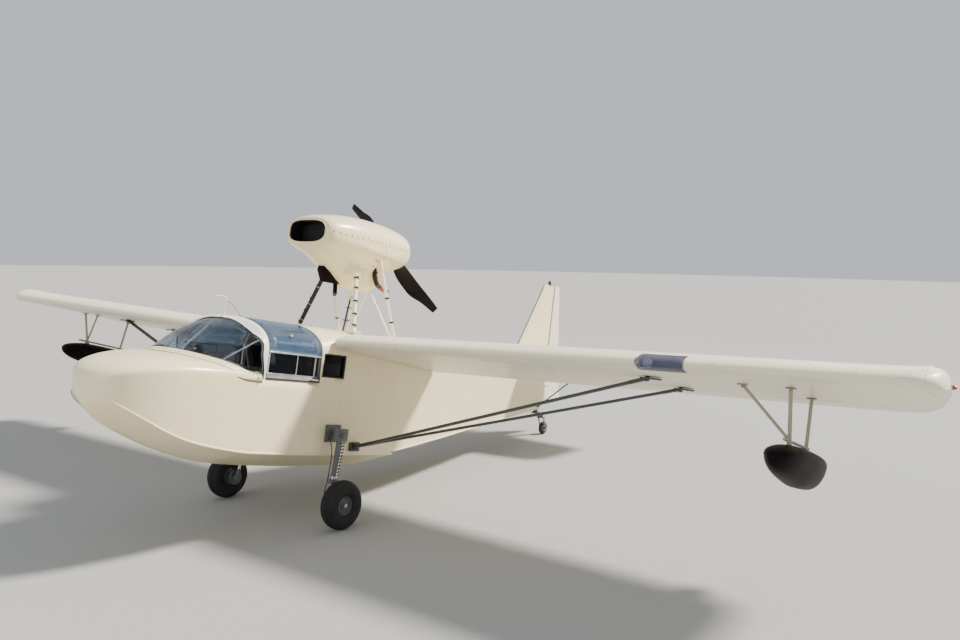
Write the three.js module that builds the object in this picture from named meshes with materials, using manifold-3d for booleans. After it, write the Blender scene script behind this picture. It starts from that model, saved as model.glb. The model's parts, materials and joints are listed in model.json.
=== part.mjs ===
// Two-seat amphibious flying boat: plywood hull, strut-braced high wing, pusher propeller in a pod on tubes.
// Millimetres. Everything is drawn in the hull's own frame and then set down on its three wheels:
// X to port, Y aft, Z up, with the origin at the leading edge of the wing's root chord on the centreline.

import * as THREE from 'three';
import { mergeVertices } from 'three/addons/utils/BufferGeometryUtils.js';
import Module from 'manifold-3d';

const wasm = await Module();
wasm.setup();

// Driving dimensions
const CHORD = 1524;
const SEMI_SPAN = 5560;
const ROOT_X = 550;
const INCIDENCE = THREE.MathUtils.degToRad(6.5);
const DIHEDRAL = THREE.MathUtils.degToRad(1.79);
const WALL = 30;
const SEAT_GAP = 0.3;
const SWING_GAP = 6;

const FRONT_SPAR_Y = 470;
const REAR_SPAR_Y = 1130;
const AILERON_X = [2500, 4430];
const AILERON_HINGE = 1262;

const SILL_Z = -386;
const SPRING_Z = -170;
const DOOR_Y = [-781, -131];
const HOOP_Y = [-866, -787];
const CABIN_Y = [-950, 300];
const FLOOR_Z = -950;
const ROOF_BEAM_HALF = 38;
const DOOR_SKIN = 10;
const PANE = 4;

const WHEEL_R = 222;
const WHEEL_AT = new THREE.Vector3(805, 100, -1450);
const GEAR_PIVOT = new THREE.Vector3(640, 130, -845);
const TAILWHEEL_R = 90;
const TAILWHEEL_AT = new THREE.Vector3(0, 4730, -780);

const PROP_AT = new THREE.Vector3(0, 1242, 1008);
const PROP_R = 880;
const PROP_ANGLE = THREE.MathUtils.degToRad(141);

const RUDDER_AXIS_Y = 4620;
const ELEVATOR_AXIS = { y: 4440, z: 33 };

// Paints and finishes
const paint = (color, roughness, metalness = 0) =>
  new THREE.MeshStandardMaterial({ color, roughness, metalness });
const CREAM = paint(0xe9e2cc, 0.35);
const CREAM_CLOTH = paint(0xe6e0cd, 0.5);
const WHITE_TUBE = paint(0xe8e4d6, 0.4);
const BLACK_WRAP = paint(0x1d1b1a, 0.7);
const FLOAT_BLACK = paint(0x1c1516, 0.45);
const RUBBER = paint(0x17161a, 0.85);
const GREY_METAL = paint(0x7f8286, 0.45, 0.7);
const STRUT_GREY = paint(0x8d8c86, 0.5, 0.2);
const BARE_METAL = paint(0xb9bcbf, 0.3, 0.9);
const PROP_BLACK = paint(0x151415, 0.4);
const RUST = paint(0x6a3f2c, 0.8, 0.3);
const IRON = paint(0x4a4a4c, 0.6, 0.6);
const DARK_PANEL = paint(0x222426, 0.7);
const SEAT_CLOTH = paint(0x6d7074, 0.9);
const RED_GLASS = paint(0xb01818, 0.1);
const GREEN_GLASS = paint(0x17803a, 0.1);
const CLEAR = paint(0xbfd4de, 0.05);
const TINTED = paint(0x5d86b5, 0.05);
const SMOKED = paint(0x14161a, 0.1);
for (const glass of [CLEAR, TINTED, SMOKED]) {
  glass.transparent = true;
  glass.opacity = 0.4;
}

// Geometry helpers

const V = (x, y, z) => new THREE.Vector3(x, y, z);

function geometryOf(points, faces) {
  const geometry = new THREE.BufferGeometry();
  geometry.setAttribute('position', new THREE.Float32BufferAttribute(points.flatMap((p) => [p.x, p.y, p.z]), 3));
  geometry.setIndex(faces.flat());
  return outward(geometry);
}

// Turns every face round when the closed surface has its inside out.
function outward(geometry) {
  const p = geometry.attributes.position;
  const index = geometry.index.array;
  let volume = 0;
  for (let i = 0; i < index.length; i += 3) {
    const [a, b, c] = [0, 1, 2].map((k) => V().fromBufferAttribute(p, index[i + k]));
    volume += a.dot(b.cross(c));
  }
  if (volume < 0) {
    for (let i = 0; i < index.length; i += 3) {
      [index[i], index[i + 1]] = [index[i + 1], index[i]];
    }
  }
  return geometry;
}

// Skins a row of closed rings, each with the same number of points, and closes both ends.
function loft(rings) {
  const n = rings[0].length;
  const points = rings.flat();
  const faces = [];
  for (let r = 0; r + 1 < rings.length; r += 1) {
    for (let i = 0; i < n; i += 1) {
      const a = r * n + i;
      const b = r * n + ((i + 1) % n);
      faces.push([a, b, b + n], [a, b + n, a + n]);
    }
  }
  faces.push(...capFaces(n, 0, true), ...capFaces(n, (rings.length - 1) * n, false));
  return geometryOf(points, faces);
}

// Rungs from one side of the ring to the other, which suits every ring here because each lists its points evenly.
function capFaces(count, first, flip) {
  const faces = [];
  let low = 0;
  let high = count - 1;
  while (high - low > 1) {
    faces.push([first + low, first + low + 1, first + high]);
    low += 1;
    if (high - low > 1) faces.push([first + low, first + high - 1, first + high]);
    high -= 1;
  }
  return flip ? faces.map(([i, j, k]) => [i, k, j]) : faces;
}

// A sheet of even thickness hung below a grid of points, so that curved skins and panes are one closed body.
function sheet(grid, thickness, depth = 0) {
  const rows = grid.length;
  const cols = grid[0].length;
  const at = (i, j) => grid[Math.min(Math.max(i, 0), rows - 1)][Math.min(Math.max(j, 0), cols - 1)];
  const outer = [];
  const inner = [];
  for (let i = 0; i < rows; i += 1) {
    for (let j = 0; j < cols; j += 1) {
      const du = at(i + 1, j).clone().sub(at(i - 1, j));
      const dv = at(i, j + 1).clone().sub(at(i, j - 1));
      const normal = du.cross(dv).normalize();
      outer.push(at(i, j).clone().addScaledVector(normal, -depth));
      inner.push(at(i, j).clone().addScaledVector(normal, -depth - thickness));
    }
  }
  const faces = [];
  const total = rows * cols;
  for (let i = 0; i + 1 < rows; i += 1) {
    for (let j = 0; j + 1 < cols; j += 1) {
      const a = i * cols + j;
      const [b, c, d] = [a + 1, a + cols + 1, a + cols];
      faces.push([a, d, c], [a, c, b], [a + total, c + total, d + total], [a + total, b + total, c + total]);
    }
  }
  const border = [];
  for (let j = 0; j < cols - 1; j += 1) border.push(j);
  for (let i = 0; i < rows - 1; i += 1) border.push(i * cols + cols - 1);
  for (let j = cols - 1; j > 0; j -= 1) border.push((rows - 1) * cols + j);
  for (let i = rows - 1; i > 0; i -= 1) border.push(i * cols);
  border.forEach((a, k) => {
    const b = border[(k + 1) % border.length];
    faces.push([a, b, b + total], [a, b + total, a + total]);
  });
  return geometryOf([...outer, ...inner], faces);
}

function solid(geometry) {
  let g = geometry.clone();
  g.deleteAttribute('normal');
  g.deleteAttribute('uv');
  g = mergeVertices(g, 1e-3);
  return new wasm.Manifold(new wasm.Mesh({
    numProp: 3,
    vertProperties: new Float32Array(g.attributes.position.array),
    triVerts: new Uint32Array(g.index.array),
  }));
}

function meshed(body) {
  const mesh = body.getMesh();
  const geometry = new THREE.BufferGeometry();
  geometry.setAttribute('position', new THREE.BufferAttribute(mesh.vertProperties.slice(), 3));
  geometry.setIndex(Array.from(mesh.triVerts));
  return geometry;
}

const joined = (...shapes) => meshed(shapes.map(solid).reduce((a, b) => a.add(b)));
const cut = (shape, ...tools) => meshed(tools.map(solid).reduce((a, b) => a.subtract(b), solid(shape)));

function box(low, high) {
  const size = high.clone().sub(low);
  const geometry = new THREE.BoxGeometry(size.x, size.y, size.z);
  return geometry.translate(...low.clone().add(high).multiplyScalar(0.5).toArray());
}

// A round or streamlined bar between two points; chord lies as near to the flight direction as it can.
function bar(from, to, width, chord = width, sides = 12) {
  const along = to.clone().sub(from);
  const length = along.length();
  const y = along.clone().normalize();
  const z = V(0, 1, 0).addScaledVector(y, -y.y);
  if (z.length() < 0.2) z.set(0, 0, 1).addScaledVector(y, -y.z);
  z.normalize();
  const x = y.clone().cross(z);
  const geometry = new THREE.CylinderGeometry(0.5, 0.5, length, sides);
  geometry.scale(width, 1, chord);
  geometry.applyMatrix4(new THREE.Matrix4().makeBasis(x, y, z));
  return geometry.translate(...from.clone().add(to).multiplyScalar(0.5).toArray());
}

function disc(centre, axis, radius, length, sides = 32) {
  const half = axis.clone().normalize().multiplyScalar(length / 2);
  return bar(centre.clone().sub(half), centre.clone().add(half), radius * 2, radius * 2, sides);
}

function bentTube(points, radius, steps, sides = 10) {
  const section = new THREE.Shape();
  for (let i = 0; i < sides; i += 1) {
    const a = (i / sides) * Math.PI * 2;
    const [x, y] = [radius * Math.cos(a), radius * Math.sin(a)];
    if (i) section.lineTo(x, y);
    else section.moveTo(x, y);
  }
  section.closePath();
  const path = new THREE.CatmullRomCurve3(points);
  return joined(new THREE.ExtrudeGeometry(section, { steps, extrudePath: path, bevelEnabled: false }));
}

function lathe(profile, sides) {
  return new THREE.LatheGeometry(profile.map(([r, h]) => new THREE.Vector2(r, h)), sides);
}

function mirrored(geometry) {
  const g = geometry.clone().scale(-1, 1, 1);
  if (g.index) {
    const index = g.index.array;
    for (let i = 0; i < index.length; i += 3) [index[i], index[i + 1]] = [index[i + 1], index[i]];
  }
  return g;
}

// Reads a table whose first column rises, with straight lines between its rows.
function reader(rows) {
  return (t) => {
    let k = 0;
    while (k < rows.length - 2 && t > rows[k + 1][0]) k += 1;
    const [a, b] = [rows[k], rows[k + 1]];
    const f = THREE.MathUtils.clamp((t - a[0]) / (b[0] - a[0]), 0, 1);
    return a.map((v, i) => v + (b[i] - v) * f);
  };
}

const airframe = new THREE.Group();
const parts = new Map();

function add(name, geometry, material, parent = airframe) {
  const mesh = new THREE.Mesh(geometry, material);
  mesh.name = name;
  parent.add(mesh);
  parts.set(name, mesh);
  return mesh;
}

// Adds the port piece as drawn and the starboard piece as its mirror image.
function addPair(name, geometry, material, parents = [airframe, airframe]) {
  add(`${name}_port`, geometry, material, parents[0]);
  add(`${name}_starboard`, mirrored(geometry), material, parents[1]);
}

// A body with its mirror image, moved a hair along each direction, so that what is cut by it keeps a hairline gap
// on both sides of the aircraft.
function thickened(geometry, directions, gap = SEAT_GAP) {
  const body = solid(geometry).add(solid(mirrored(geometry)));
  return directions.reduce((sum, [x, y, z]) => sum.add(body.translate([x * gap, y * gap, z * gap])), body);
}
function grown(name, directions, gap) {
  const { geometry, parent } = parts.get(name);
  return thickened(parent === airframe ? geometry : geometry.clone().applyMatrix4(parent.matrix), directions, gap);
}
const clearOf = (geometry, ...neighbours) =>
  meshed(neighbours.reduce((body, other) => body.subtract(other), solid(geometry)));
const SIDEWAYS = [[1, 0, 0], [-1, 0, 0]];
const UPRIGHT = [[0, 0, 1], [0, 0, -1]];
const ALONG = [[0, 1, 0], [0, -1, 0]];

// A hinge lug: a tongue that ends round on the hinge axis, and the slot that the moving surface has for it.
const LUG_WIDTH = 16;
function lug(at, axis, root, radius = 9) {
  const half = V(radius, radius, radius).addScaledVector(axis, LUG_WIDTH / 2 - radius);
  const low = V(at.x - half.x, root, at.z - half.z);
  return joined(disc(at, axis, radius, LUG_WIDTH, 16), box(low, V(at.x + half.x, at.y, at.z + half.z)));
}
function slot(at, axis) {
  const half = V(120, 120, 120).addScaledVector(axis, LUG_WIDTH / 2 + SEAT_GAP - 120);
  return box(V(at.x - half.x, at.y - 90, at.z - half.z), V(at.x + half.x, at.y + 15, at.z + half.z));
}

// Hull: planing bottom with a step, hard chines, slab sides and a crowned foredeck; the cabin's rear and
// the tail's deck are the same moulding.
// y, keel z, chine x, chine z, side x, side top z, crown z, roundness of the deck
const HULL_ROWS = [
  [-2066, -634, 26, -598, 36, -570, -538, 2],
  [-2050, -684, 118, -610, 138, -532, -470, 2],
  [-2005, -752, 222, -636, 248, -492, -420, 2.1],
  [-1925, -822, 324, -688, 354, -450, -366, 2.2],
  [-1800, -890, 418, -758, 448, -422, -316, 2.3],
  [-1630, -966, 495, -846, 522, -404, -276, 2.4],
  [-1440, -1040, 538, -918, 562, -392, -252, 2.5],
  [-1200, -1112, 568, -968, 588, -384, -248, 2.5],
  [-900, -1176, 584, -1006, 599, -382, -256, 2.5],
  [-868, -1190, 585, -1010, 599.6, -387, -386, 2.5],
  [-122, -1225, 545, -1035, 552, -387, -386, 2.5],
  [-121, -1225, 545, -1035, 552, SPRING_Z, 122, 2.05],
  [0, -1228, 540, -1038, ROOT_X - SEAT_GAP, -130, 124, 2.5],
  [220, -1230, 540, -1040, ROOT_X - SEAT_GAP, -80, 126, 3.2],
  [520, -1230, 540, -1040, ROOT_X - SEAT_GAP, -80, 127, 3.2],
  [1000, -1230, 540, -1040, ROOT_X - SEAT_GAP, -90, 96, 3],
  [1003, -1112, 536, -1012, ROOT_X - SEAT_GAP, -90, 96, 3],
  [1530, -1028, 505, -925, ROOT_X - SEAT_GAP, -120, 52, 2.8],
  [2500, -872, 355, -790, 398, -110, 30, 2.6],
  [3500, -707, 185, -650, 222, -75, 12, 2.4],
  [4300, -575, 62, -545, 90, -45, 3, 2.3],
  [4580, -530, 32, -515, 46, -35, -2, 2.2],
];
const hullAt = reader(HULL_ROWS);
const DECK_STEPS = 7;

function deckZ(x, y) {
  const [, , , , sideX, sideZ, crownZ, n] = hullAt(y);
  const f = Math.min(Math.abs(x) / sideX, 1);
  return sideZ + (crownZ - sideZ) * (1 - f ** n) ** (1 / n);
}

function hullRing([y, keelZ, chineX, chineZ, sideX, sideZ, crownZ, n]) {
  const half = [V(chineX, y, chineZ)];
  for (let k = 0; k < DECK_STEPS; k += 1) {
    const a = (k / DECK_STEPS) * (Math.PI / 2);
    const x = sideX * Math.cos(a) ** (2 / n);
    half.push(V(x, y, sideZ + (crownZ - sideZ) * Math.sin(a) ** (2 / n)));
  }
  const other = half.map((p) => V(-p.x, p.y, p.z)).reverse();
  return [V(0, y, keelZ), ...half, V(0, y, crownZ), ...other];
}

function cabinCut() {
  const rooms = [];
  const openTop = [];
  for (const y of [CABIN_Y[0], HOOP_Y[1], -124]) {
    const side = Math.min(hullAt(y)[4], 599) - WALL;
    openTop.push([V(side, y, FLOOR_Z), V(side, y, 300), V(-side, y, 300), V(-side, y, FLOOR_Z)]);
  }
  rooms.push(loft(openTop));
  const vault = [];
  for (const y of [-130, 0, CABIN_Y[1]]) {
    const row = hullAt(Math.max(y, -121));
    const ring = hullRing([y, FLOOR_Z, row[4] - WALL, FLOOR_Z + 0.2, row[4] - WALL, row[5], row[6] - WALL, row[7]]);
    vault.push(ring);
  }
  rooms.push(loft(vault));
  return rooms;
}

const REAR_WINDOW = { y: [-95, 185], z: [-330, -118] };
const rearWindowHole = box(
  V(-900, REAR_WINDOW.y[0], REAR_WINDOW.z[0]), V(900, REAR_WINDOW.y[1], REAR_WINDOW.z[1]));
add('hull', cut(loft(HULL_ROWS.map(hullRing)), ...cabinCut(), rearWindowHole), CREAM);

const rearPane = box(
  V(528, REAR_WINDOW.y[0] + SEAT_GAP, REAR_WINDOW.z[0] + SEAT_GAP),
  V(534, REAR_WINDOW.y[1] - SEAT_GAP, REAR_WINDOW.z[1] - SEAT_GAP));
addPair('rear_window', rearPane, SMOKED);

// Cabin top: half-ellipse roof on upright sides, the same line for windscreen bow, doors and roof beam.
const roofAt = reader([
  [-866, 600, 115],
  [-121, 552, 122],
]);

// s runs from 0 on the centreline at the roof to 1 at the sill.
const ARCH_SHARE = 0.76;
function archPoint(s, y, lift = 0) {
  const [, side, crown] = roofAt(y);
  if (s > ARCH_SHARE) {
    const z = SPRING_Z + ((SILL_Z - SPRING_Z) * (s - ARCH_SHARE)) / (1 - ARCH_SHARE);
    return V(side + lift, y, z);
  }
  const a = (s / ARCH_SHARE) * (Math.PI / 2);
  return V((side + lift) * Math.sin(a), y, SPRING_Z + (crown + lift - SPRING_Z) * Math.cos(a));
}

function archGrid(s0, s1, y0, y1, sSteps, ySteps, lift = 0) {
  const grid = [];
  for (let i = 0; i <= sSteps; i += 1) {
    const s = s0 + ((s1 - s0) * i) / sSteps;
    grid.push(Array.from({ length: ySteps + 1 }, (_, j) => archPoint(s, y0 + ((y1 - y0) * j) / ySteps, lift)));
  }
  return grid;
}

// The same grid carried over the roof from the port sill to the starboard sill.
function fullArch(y0, y1, sSteps, ySteps, lift = 0) {
  const port = archGrid(0, 1, y0, y1, sSteps, ySteps, lift);
  const starboard = port.slice(1).map((row) => row.map((p) => V(-p.x, p.y, p.z)));
  return [...starboard.reverse(), ...port];
}

add('windscreen_bow', sheet(fullArch(HOOP_Y[0], HOOP_Y[1], 16, 1, 3), 26), CREAM);

const beamTop = roofAt(-450)[2] + 4;
add('roof_beam', box(V(-ROOF_BEAM_HALF, HOOP_Y[1] + SEAT_GAP, beamTop - 34),
  V(ROOF_BEAM_HALF, -121 - SEAT_GAP, beamTop)), CREAM);

// Windscreen: one sheet bent round from a curved foot on the deck up to the bow.
const SCREEN_STEPS = 22;
function screenFoot(s) {
  const a = (s * Math.PI) / 2;
  const x = 588 * Math.cos(a);
  const y = -892 - 510 * Math.sin(a);
  return V(x, y, deckZ(x, y) - 6);
}
function screenGrid() {
  const rows = [];
  for (let i = -SCREEN_STEPS; i <= SCREEN_STEPS; i += 1) {
    const s = 1 - Math.abs(i) / SCREEN_STEPS;
    const foot = screenFoot(s);
    const top = archPoint(1 - s, HOOP_Y[0] + 4, 0);
    if (s === 0) top.z += 60;
    if (i < 0) for (const p of [foot, top]) p.x = -p.x;
    const row = [];
    for (let j = 0; j <= 5; j += 1) row.push(foot.clone().lerp(top, j / 5));
    rows.push(row);
  }
  return rows;
}
add('windscreen', clearOf(sheet(screenGrid().reverse(), PANE + 1),
  grown('hull', UPRIGHT), grown('windscreen_bow', [...ALONG, ...UPRIGHT])), CLEAR);

// Gull-wing doors, hinged along the roof beam.
const DOOR_S = [0.0385, 0.992];
const DOOR_AXIS = { x: ROOF_BEAM_HALF + SEAT_GAP + 5, z: 118 };
const DOOR_WINDOWS = [
  [0.1, 0.705],
  [0.765, 0.955],
];
function doorSkin() {
  const skin = sheet(archGrid(...DOOR_S, ...DOOR_Y, 14, 1), DOOR_SKIN);
  const rod = bar(V(DOOR_AXIS.x, DOOR_Y[0], DOOR_AXIS.z), V(DOOR_AXIS.x, DOOR_Y[1], DOOR_AXIS.z), 10, 10, 16);
  const holes = DOOR_WINDOWS.map(([s0, s1]) =>
    sheet(archGrid(s0, s1, DOOR_Y[0] + 26, DOOR_Y[1] - 34, 8, 1), 60, -25));
  return cut(joined(skin, rod), ...holes);
}
addPair('door', doorSkin(), BARE_METAL);
addPair('door_glass', sheet(archGrid(...DOOR_S, DOOR_Y[0] + 10, DOOR_Y[1] - 12, 14, 1), PANE, DOOR_SKIN + SEAT_GAP),
  TINTED);

// Cabin furniture that shows through the glass.
add('instrument_panel', box(V(-530, CABIN_Y[0] + SEAT_GAP, -640),
  V(530, CABIN_Y[0] + 24, -300)), DARK_PANEL);

function seat(x) {
  const cushion = box(V(x - 225, -420, FLOOR_Z + 0.5), V(x + 225, 70, -720));
  const back = box(V(x - 225, 0, 0), V(x + 225, 90, 560)).rotateX(-0.22).translate(0, 20, -760);
  return joined(cushion, back);
}
addPair('seat', seat(262), SEAT_CLOTH);

const stick = joined(
  bar(V(0, -560, FLOOR_Z + SEAT_GAP), V(0, -560, FLOOR_Z + 40), 90, 90, 16),
  bar(V(0, -560, FLOOR_Z + 20), V(0, -600, -560), 26),
  bar(V(-190, -600, -560), V(190, -600, -560), 26),
  bar(V(-190, -600, -570), V(-190, -600, -440), 32),
  bar(V(190, -600, -570), V(190, -600, -440), 32));
add('control_stick', stick, IRON);

// Wing panels: constant chord with cambered section, rounded bow at the tip.
const SECTION_STATIONS = [0, 0.015, 0.05, 0.11, 0.2, 0.32, 0.46, 0.6, 0.73, 0.86, 1];
function sectionZ(f, upper) {
  const [m, p, t] = [0.04, 0.4, 0.12];
  const camber = f < p ? (m / p ** 2) * (2 * p * f - f ** 2)
    : (m / (1 - p) ** 2) * (1 - 2 * p + 2 * p * f - f ** 2);
  const half = 5 * t * (0.2969 * Math.sqrt(f) - 0.126 * f - 0.3516 * f ** 2 + 0.2843 * f ** 3 - 0.1015 * f ** 4);
  return camber + (upper ? half : -half) + (upper ? 0.001 : -0.001) * f;
}
function wingRing(x, front, rear, thick) {
  const point = (f, upper) => V(x, front + (rear - front) * f, CHORD * sectionZ(f, upper) * thick);
  const over = SECTION_STATIONS.slice().reverse().map((f) => point(f, true));
  const under = SECTION_STATIONS.slice(1).map((f) => point(f, false));
  return [...over, ...under];
}
// distance from root, leading edge, trailing edge, thickness share
const TIP = SEMI_SPAN - ROOT_X;
const WING_ROWS = [
  [-12, 0, CHORD, 1],
  [TIP - 560, 0, CHORD, 1],
  [TIP - 400, 2, CHORD - 25, 1],
  [TIP - 250, 16, CHORD - 90, 0.98],
  [TIP - 120, 55, CHORD - 230, 0.93],
  [TIP - 45, 110, CHORD - 420, 0.82],
  [TIP - 12, 160, CHORD - 600, 0.6],
  [TIP, 220, CHORD - 790, 0.34],
];
const wingAt = [V(1, 0, 0), V(-1, 0, 0)].map((side) => {
  const group = new THREE.Group();
  group.position.set(ROOT_X * side.x, 0, 0);
  group.rotation.set(-INCIDENCE, -DIHEDRAL * side.x, 0, 'YXZ');
  group.updateMatrix();
  airframe.add(group);
  return group;
});
const AILERON_NOSE = 0.5 * CHORD * (sectionZ(AILERON_HINGE / CHORD, true) - sectionZ(AILERON_HINGE / CHORD, false));
const AILERON_MID = 0.5 * CHORD * (sectionZ(AILERON_HINGE / CHORD, true) + sectionZ(AILERON_HINGE / CHORD, false));
const notch = box(
  V(AILERON_X[0] - SWING_GAP, AILERON_HINGE - AILERON_NOSE - SWING_GAP - 2, -400),
  V(AILERON_X[1] + SWING_GAP, CHORD + 100, 400));
const aileronHinges = [2900, 4030].map((x) => V(x, AILERON_HINGE, AILERON_MID));
const wholeWing = joined(cut(loft(WING_ROWS.map((row) => wingRing(...row))), notch),
  ...aileronHinges.map((at) => lug(at, V(1, 0, 0), at.y - AILERON_NOSE - 20)));
const wingOffHull = clearOf(wholeWing.applyMatrix4(wingAt[0].matrix), grown('hull', SIDEWAYS));
addPair('wing', wingOffHull.applyMatrix4(wingAt[0].matrix.clone().invert()), CREAM_CLOTH, wingAt);

function aileronRing(x) {
  const f0 = AILERON_HINGE / CHORD;
  const stations = [1, 0.94, 0.88, f0];
  const over = stations.map((f) => V(x, CHORD * f, CHORD * sectionZ(f, true)));
  const under = stations.slice().reverse().map((f) => V(x, CHORD * f, CHORD * sectionZ(f, false)));
  const nose = [];
  for (let k = 1; k < 6; k += 1) {
    const a = (k / 6) * Math.PI;
    nose.push(V(x, AILERON_HINGE - AILERON_NOSE * Math.sin(a), AILERON_MID + AILERON_NOSE * Math.cos(a)));
  }
  return [...over, ...nose, ...under];
}
addPair('aileron', cut(loft(AILERON_X.map(aileronRing)), ...aileronHinges.map((at) => slot(at, V(1, 0, 0)))),
  CREAM_CLOTH, wingAt);

// A place on the port wing, in the hull's frame.
const onWing = (x, y, z) => V(x - ROOT_X, y, z).applyMatrix4(wingAt[0].matrix);
const underWing = (x, y, below = 0) => onWing(x, y, CHORD * sectionZ(y / CHORD, false) - below);

// Lift struts: a V of streamlined tube from one fitting above the chine to both spars.
const STRUT_FOOT = V(572, 430, -960);
const STRUT_X = 3480;
function liftStruts() {
  const front = underWing(STRUT_X, FRONT_SPAR_Y, 8);
  const rear = underWing(STRUT_X, REAR_SPAR_Y, 8);
  const pads = [FRONT_SPAR_Y, REAR_SPAR_Y].map((y) => {
    const at = underWing(STRUT_X, y, 7 + SEAT_GAP);
    return box(V(-45, -60, -9), V(85, 60, 7)).translate(at.x, at.y, at.z - 2);
  });
  return [
    bar(STRUT_FOOT, front, 26, 62, 14),
    bar(STRUT_FOOT, rear, 24, 54, 14),
    box(V(ROOT_X + 5, STRUT_FOOT.y - 60, STRUT_FOOT.z - 45), V(STRUT_FOOT.x + 30, STRUT_FOOT.y + 70, STRUT_FOOT.z + 40)),
    ...pads,
  ];
}

// Main gear: leg swung down from its pivot above the chine, axle stub and pivot bracket.
const LEG_X = GEAR_PIVOT.x + 10;
function gearLeg() {
  const axle = V(LEG_X, WHEEL_AT.y, WHEEL_AT.z);
  return joined(
    bar(V(LEG_X, GEAR_PIVOT.y, GEAR_PIVOT.z + 40), axle, 44, 44, 14),
    bar(V(LEG_X, GEAR_PIVOT.y + 52, GEAR_PIVOT.z + 10), V(LEG_X, WHEEL_AT.y + 40, WHEEL_AT.z + 190), 34),
    box(V(LEG_X - 22, WHEEL_AT.y - 24, WHEEL_AT.z + 160), V(LEG_X + 22, WHEEL_AT.y + 60, WHEEL_AT.z + 205)),
    bar(V(LEG_X, WHEEL_AT.y, WHEEL_AT.z), V(WHEEL_AT.x + 50, WHEEL_AT.y, WHEEL_AT.z), 32, 32, 16),
    bar(V(LEG_X - 24, WHEEL_AT.y, WHEEL_AT.z), V(LEG_X + 26, WHEEL_AT.y, WHEEL_AT.z), 62, 62, 16),
    box(V(LEG_X - 30, GEAR_PIVOT.y - 60, GEAR_PIVOT.z - 55), V(LEG_X + 28, GEAR_PIVOT.y + 80, GEAR_PIVOT.z + 60)),
    bar(V(550, GEAR_PIVOT.y, GEAR_PIVOT.z), V(LEG_X + 60, GEAR_PIVOT.y, GEAR_PIVOT.z), 40, 40, 16),
    box(V(530, GEAR_PIVOT.y - 95, GEAR_PIVOT.z - 75), V(560, GEAR_PIVOT.y + 95, GEAR_PIVOT.z + 85)));
}
const hullSide = grown('hull', SIDEWAYS);
const hullTop = grown('hull', UPRIGHT);
addPair('gear_leg', clearOf(gearLeg(), hullSide), GREY_METAL);
addPair('lift_strut', clearOf(joined(...liftStruts()), hullSide, grown('wing_port', UPRIGHT)), STRUT_GREY);

// Wheels: tyre on a disc rim.
const RIM_R = 84;
const TYRE_PROFILE = [
  [RIM_R, -52], [RIM_R + 26, -70], [RIM_R + 70, -78], [RIM_R + 108, -66], [RIM_R + 131, -36],
  [WHEEL_R, 0],
  [RIM_R + 131, 36], [RIM_R + 108, 66], [RIM_R + 70, 78], [RIM_R + 26, 70], [RIM_R, 52], [RIM_R, -52],
];
const BORE_R = 16.5;
const RIM_PROFILE = [
  [BORE_R, -42], [46, -42], [56, -30], [74, -36], [RIM_R - SEAT_GAP, -50],
  [RIM_R - SEAT_GAP, 50], [74, 36], [56, 30], [46, 42], [BORE_R, 42], [BORE_R, -42],
];
for (const [name, side] of [['port', 1], ['starboard', -1]]) {
  const wheel = new THREE.Group();
  wheel.position.set(WHEEL_AT.x * side, WHEEL_AT.y, WHEEL_AT.z);
  wheel.rotation.z = (-Math.PI / 2) * side;
  airframe.add(wheel);
  add(`tyre_${name}`, lathe(TYRE_PROFILE, 40), RUBBER, wheel);
  add(`rim_${name}`, lathe(RIM_PROFILE, 32), GREY_METAL, wheel);
}

// Tail wheel on a steering fork under the sternpost.
const KING = V(0, 4640, 0);
const FORK_TOP = -612;
const forkArm = (x) => joined(
  bar(V(x, KING.y + 6, FORK_TOP - 20), V(x, TAILWHEEL_AT.y, TAILWHEEL_AT.z), 14, 30, 10),
  disc(V(x, TAILWHEEL_AT.y, TAILWHEEL_AT.z), V(1, 0, 0), 20, 14, 16));
const fork = joined(
  forkArm(42), forkArm(-42),
  box(V(-49, KING.y - 22, FORK_TOP - 36), V(49, KING.y + 40, FORK_TOP - 12)),
  bar(V(0, KING.y, FORK_TOP - 20), V(0, KING.y, FORK_TOP + 26), 28, 28, 16),
  disc(V(0, TAILWHEEL_AT.y, TAILWHEEL_AT.z), V(1, 0, 0), 9, 96, 14));
add('tailwheel_fork', fork, GREY_METAL);
const tailwheel = new THREE.Group();
tailwheel.position.copy(TAILWHEEL_AT);
tailwheel.rotation.z = -Math.PI / 2;
airframe.add(tailwheel);
add('tailwheel', lathe([
  [9.3, -30], [34, -30], [40, -20], [62, -28], [80, -20], [TAILWHEEL_R, 0],
  [80, 20], [62, 28], [40, 20], [34, 30], [9.3, 30], [9.3, -30],
], 32), RUBBER, tailwheel);
const stern = joined(
  box(V(-30, 4420, -585), V(30, 4700, -573)),
  disc(V(0, KING.y, FORK_TOP + 14), V(0, 0, 1), 30, 50, 20),
  bar(V(0, 4480, -580), V(0, 4500, -520), 40, 60, 12));
add('tailwheel_spring', clearOf(cut(stern,
  disc(V(0, KING.y, FORK_TOP + 14), V(0, 0, 1), 14 + SEAT_GAP, 80, 16)),
  grown('hull', [[0, 0, -1], [0, 1, 0], [1, 0, 0], [-1, 0, 0]])), GREY_METAL);

// Fin and rudder: flat-sided plywood surfaces with rounded noses.
function finRing(z, noseY, tailY, half) {
  const points = [];
  const noseLength = 0.22 * (tailY - noseY);
  for (let k = 0; k <= 6; k += 1) {
    const a = (k / 6) * Math.PI;
    points.push(V(half * Math.cos(a), noseY + noseLength * (1 - Math.sin(a)), z));
  }
  return [...points, V(-half * 0.8, tailY, z), V(half * 0.8, tailY, z)];
}
const FIN_FOOT = 57.3;
const FIN_TOP = 1168;
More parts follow.
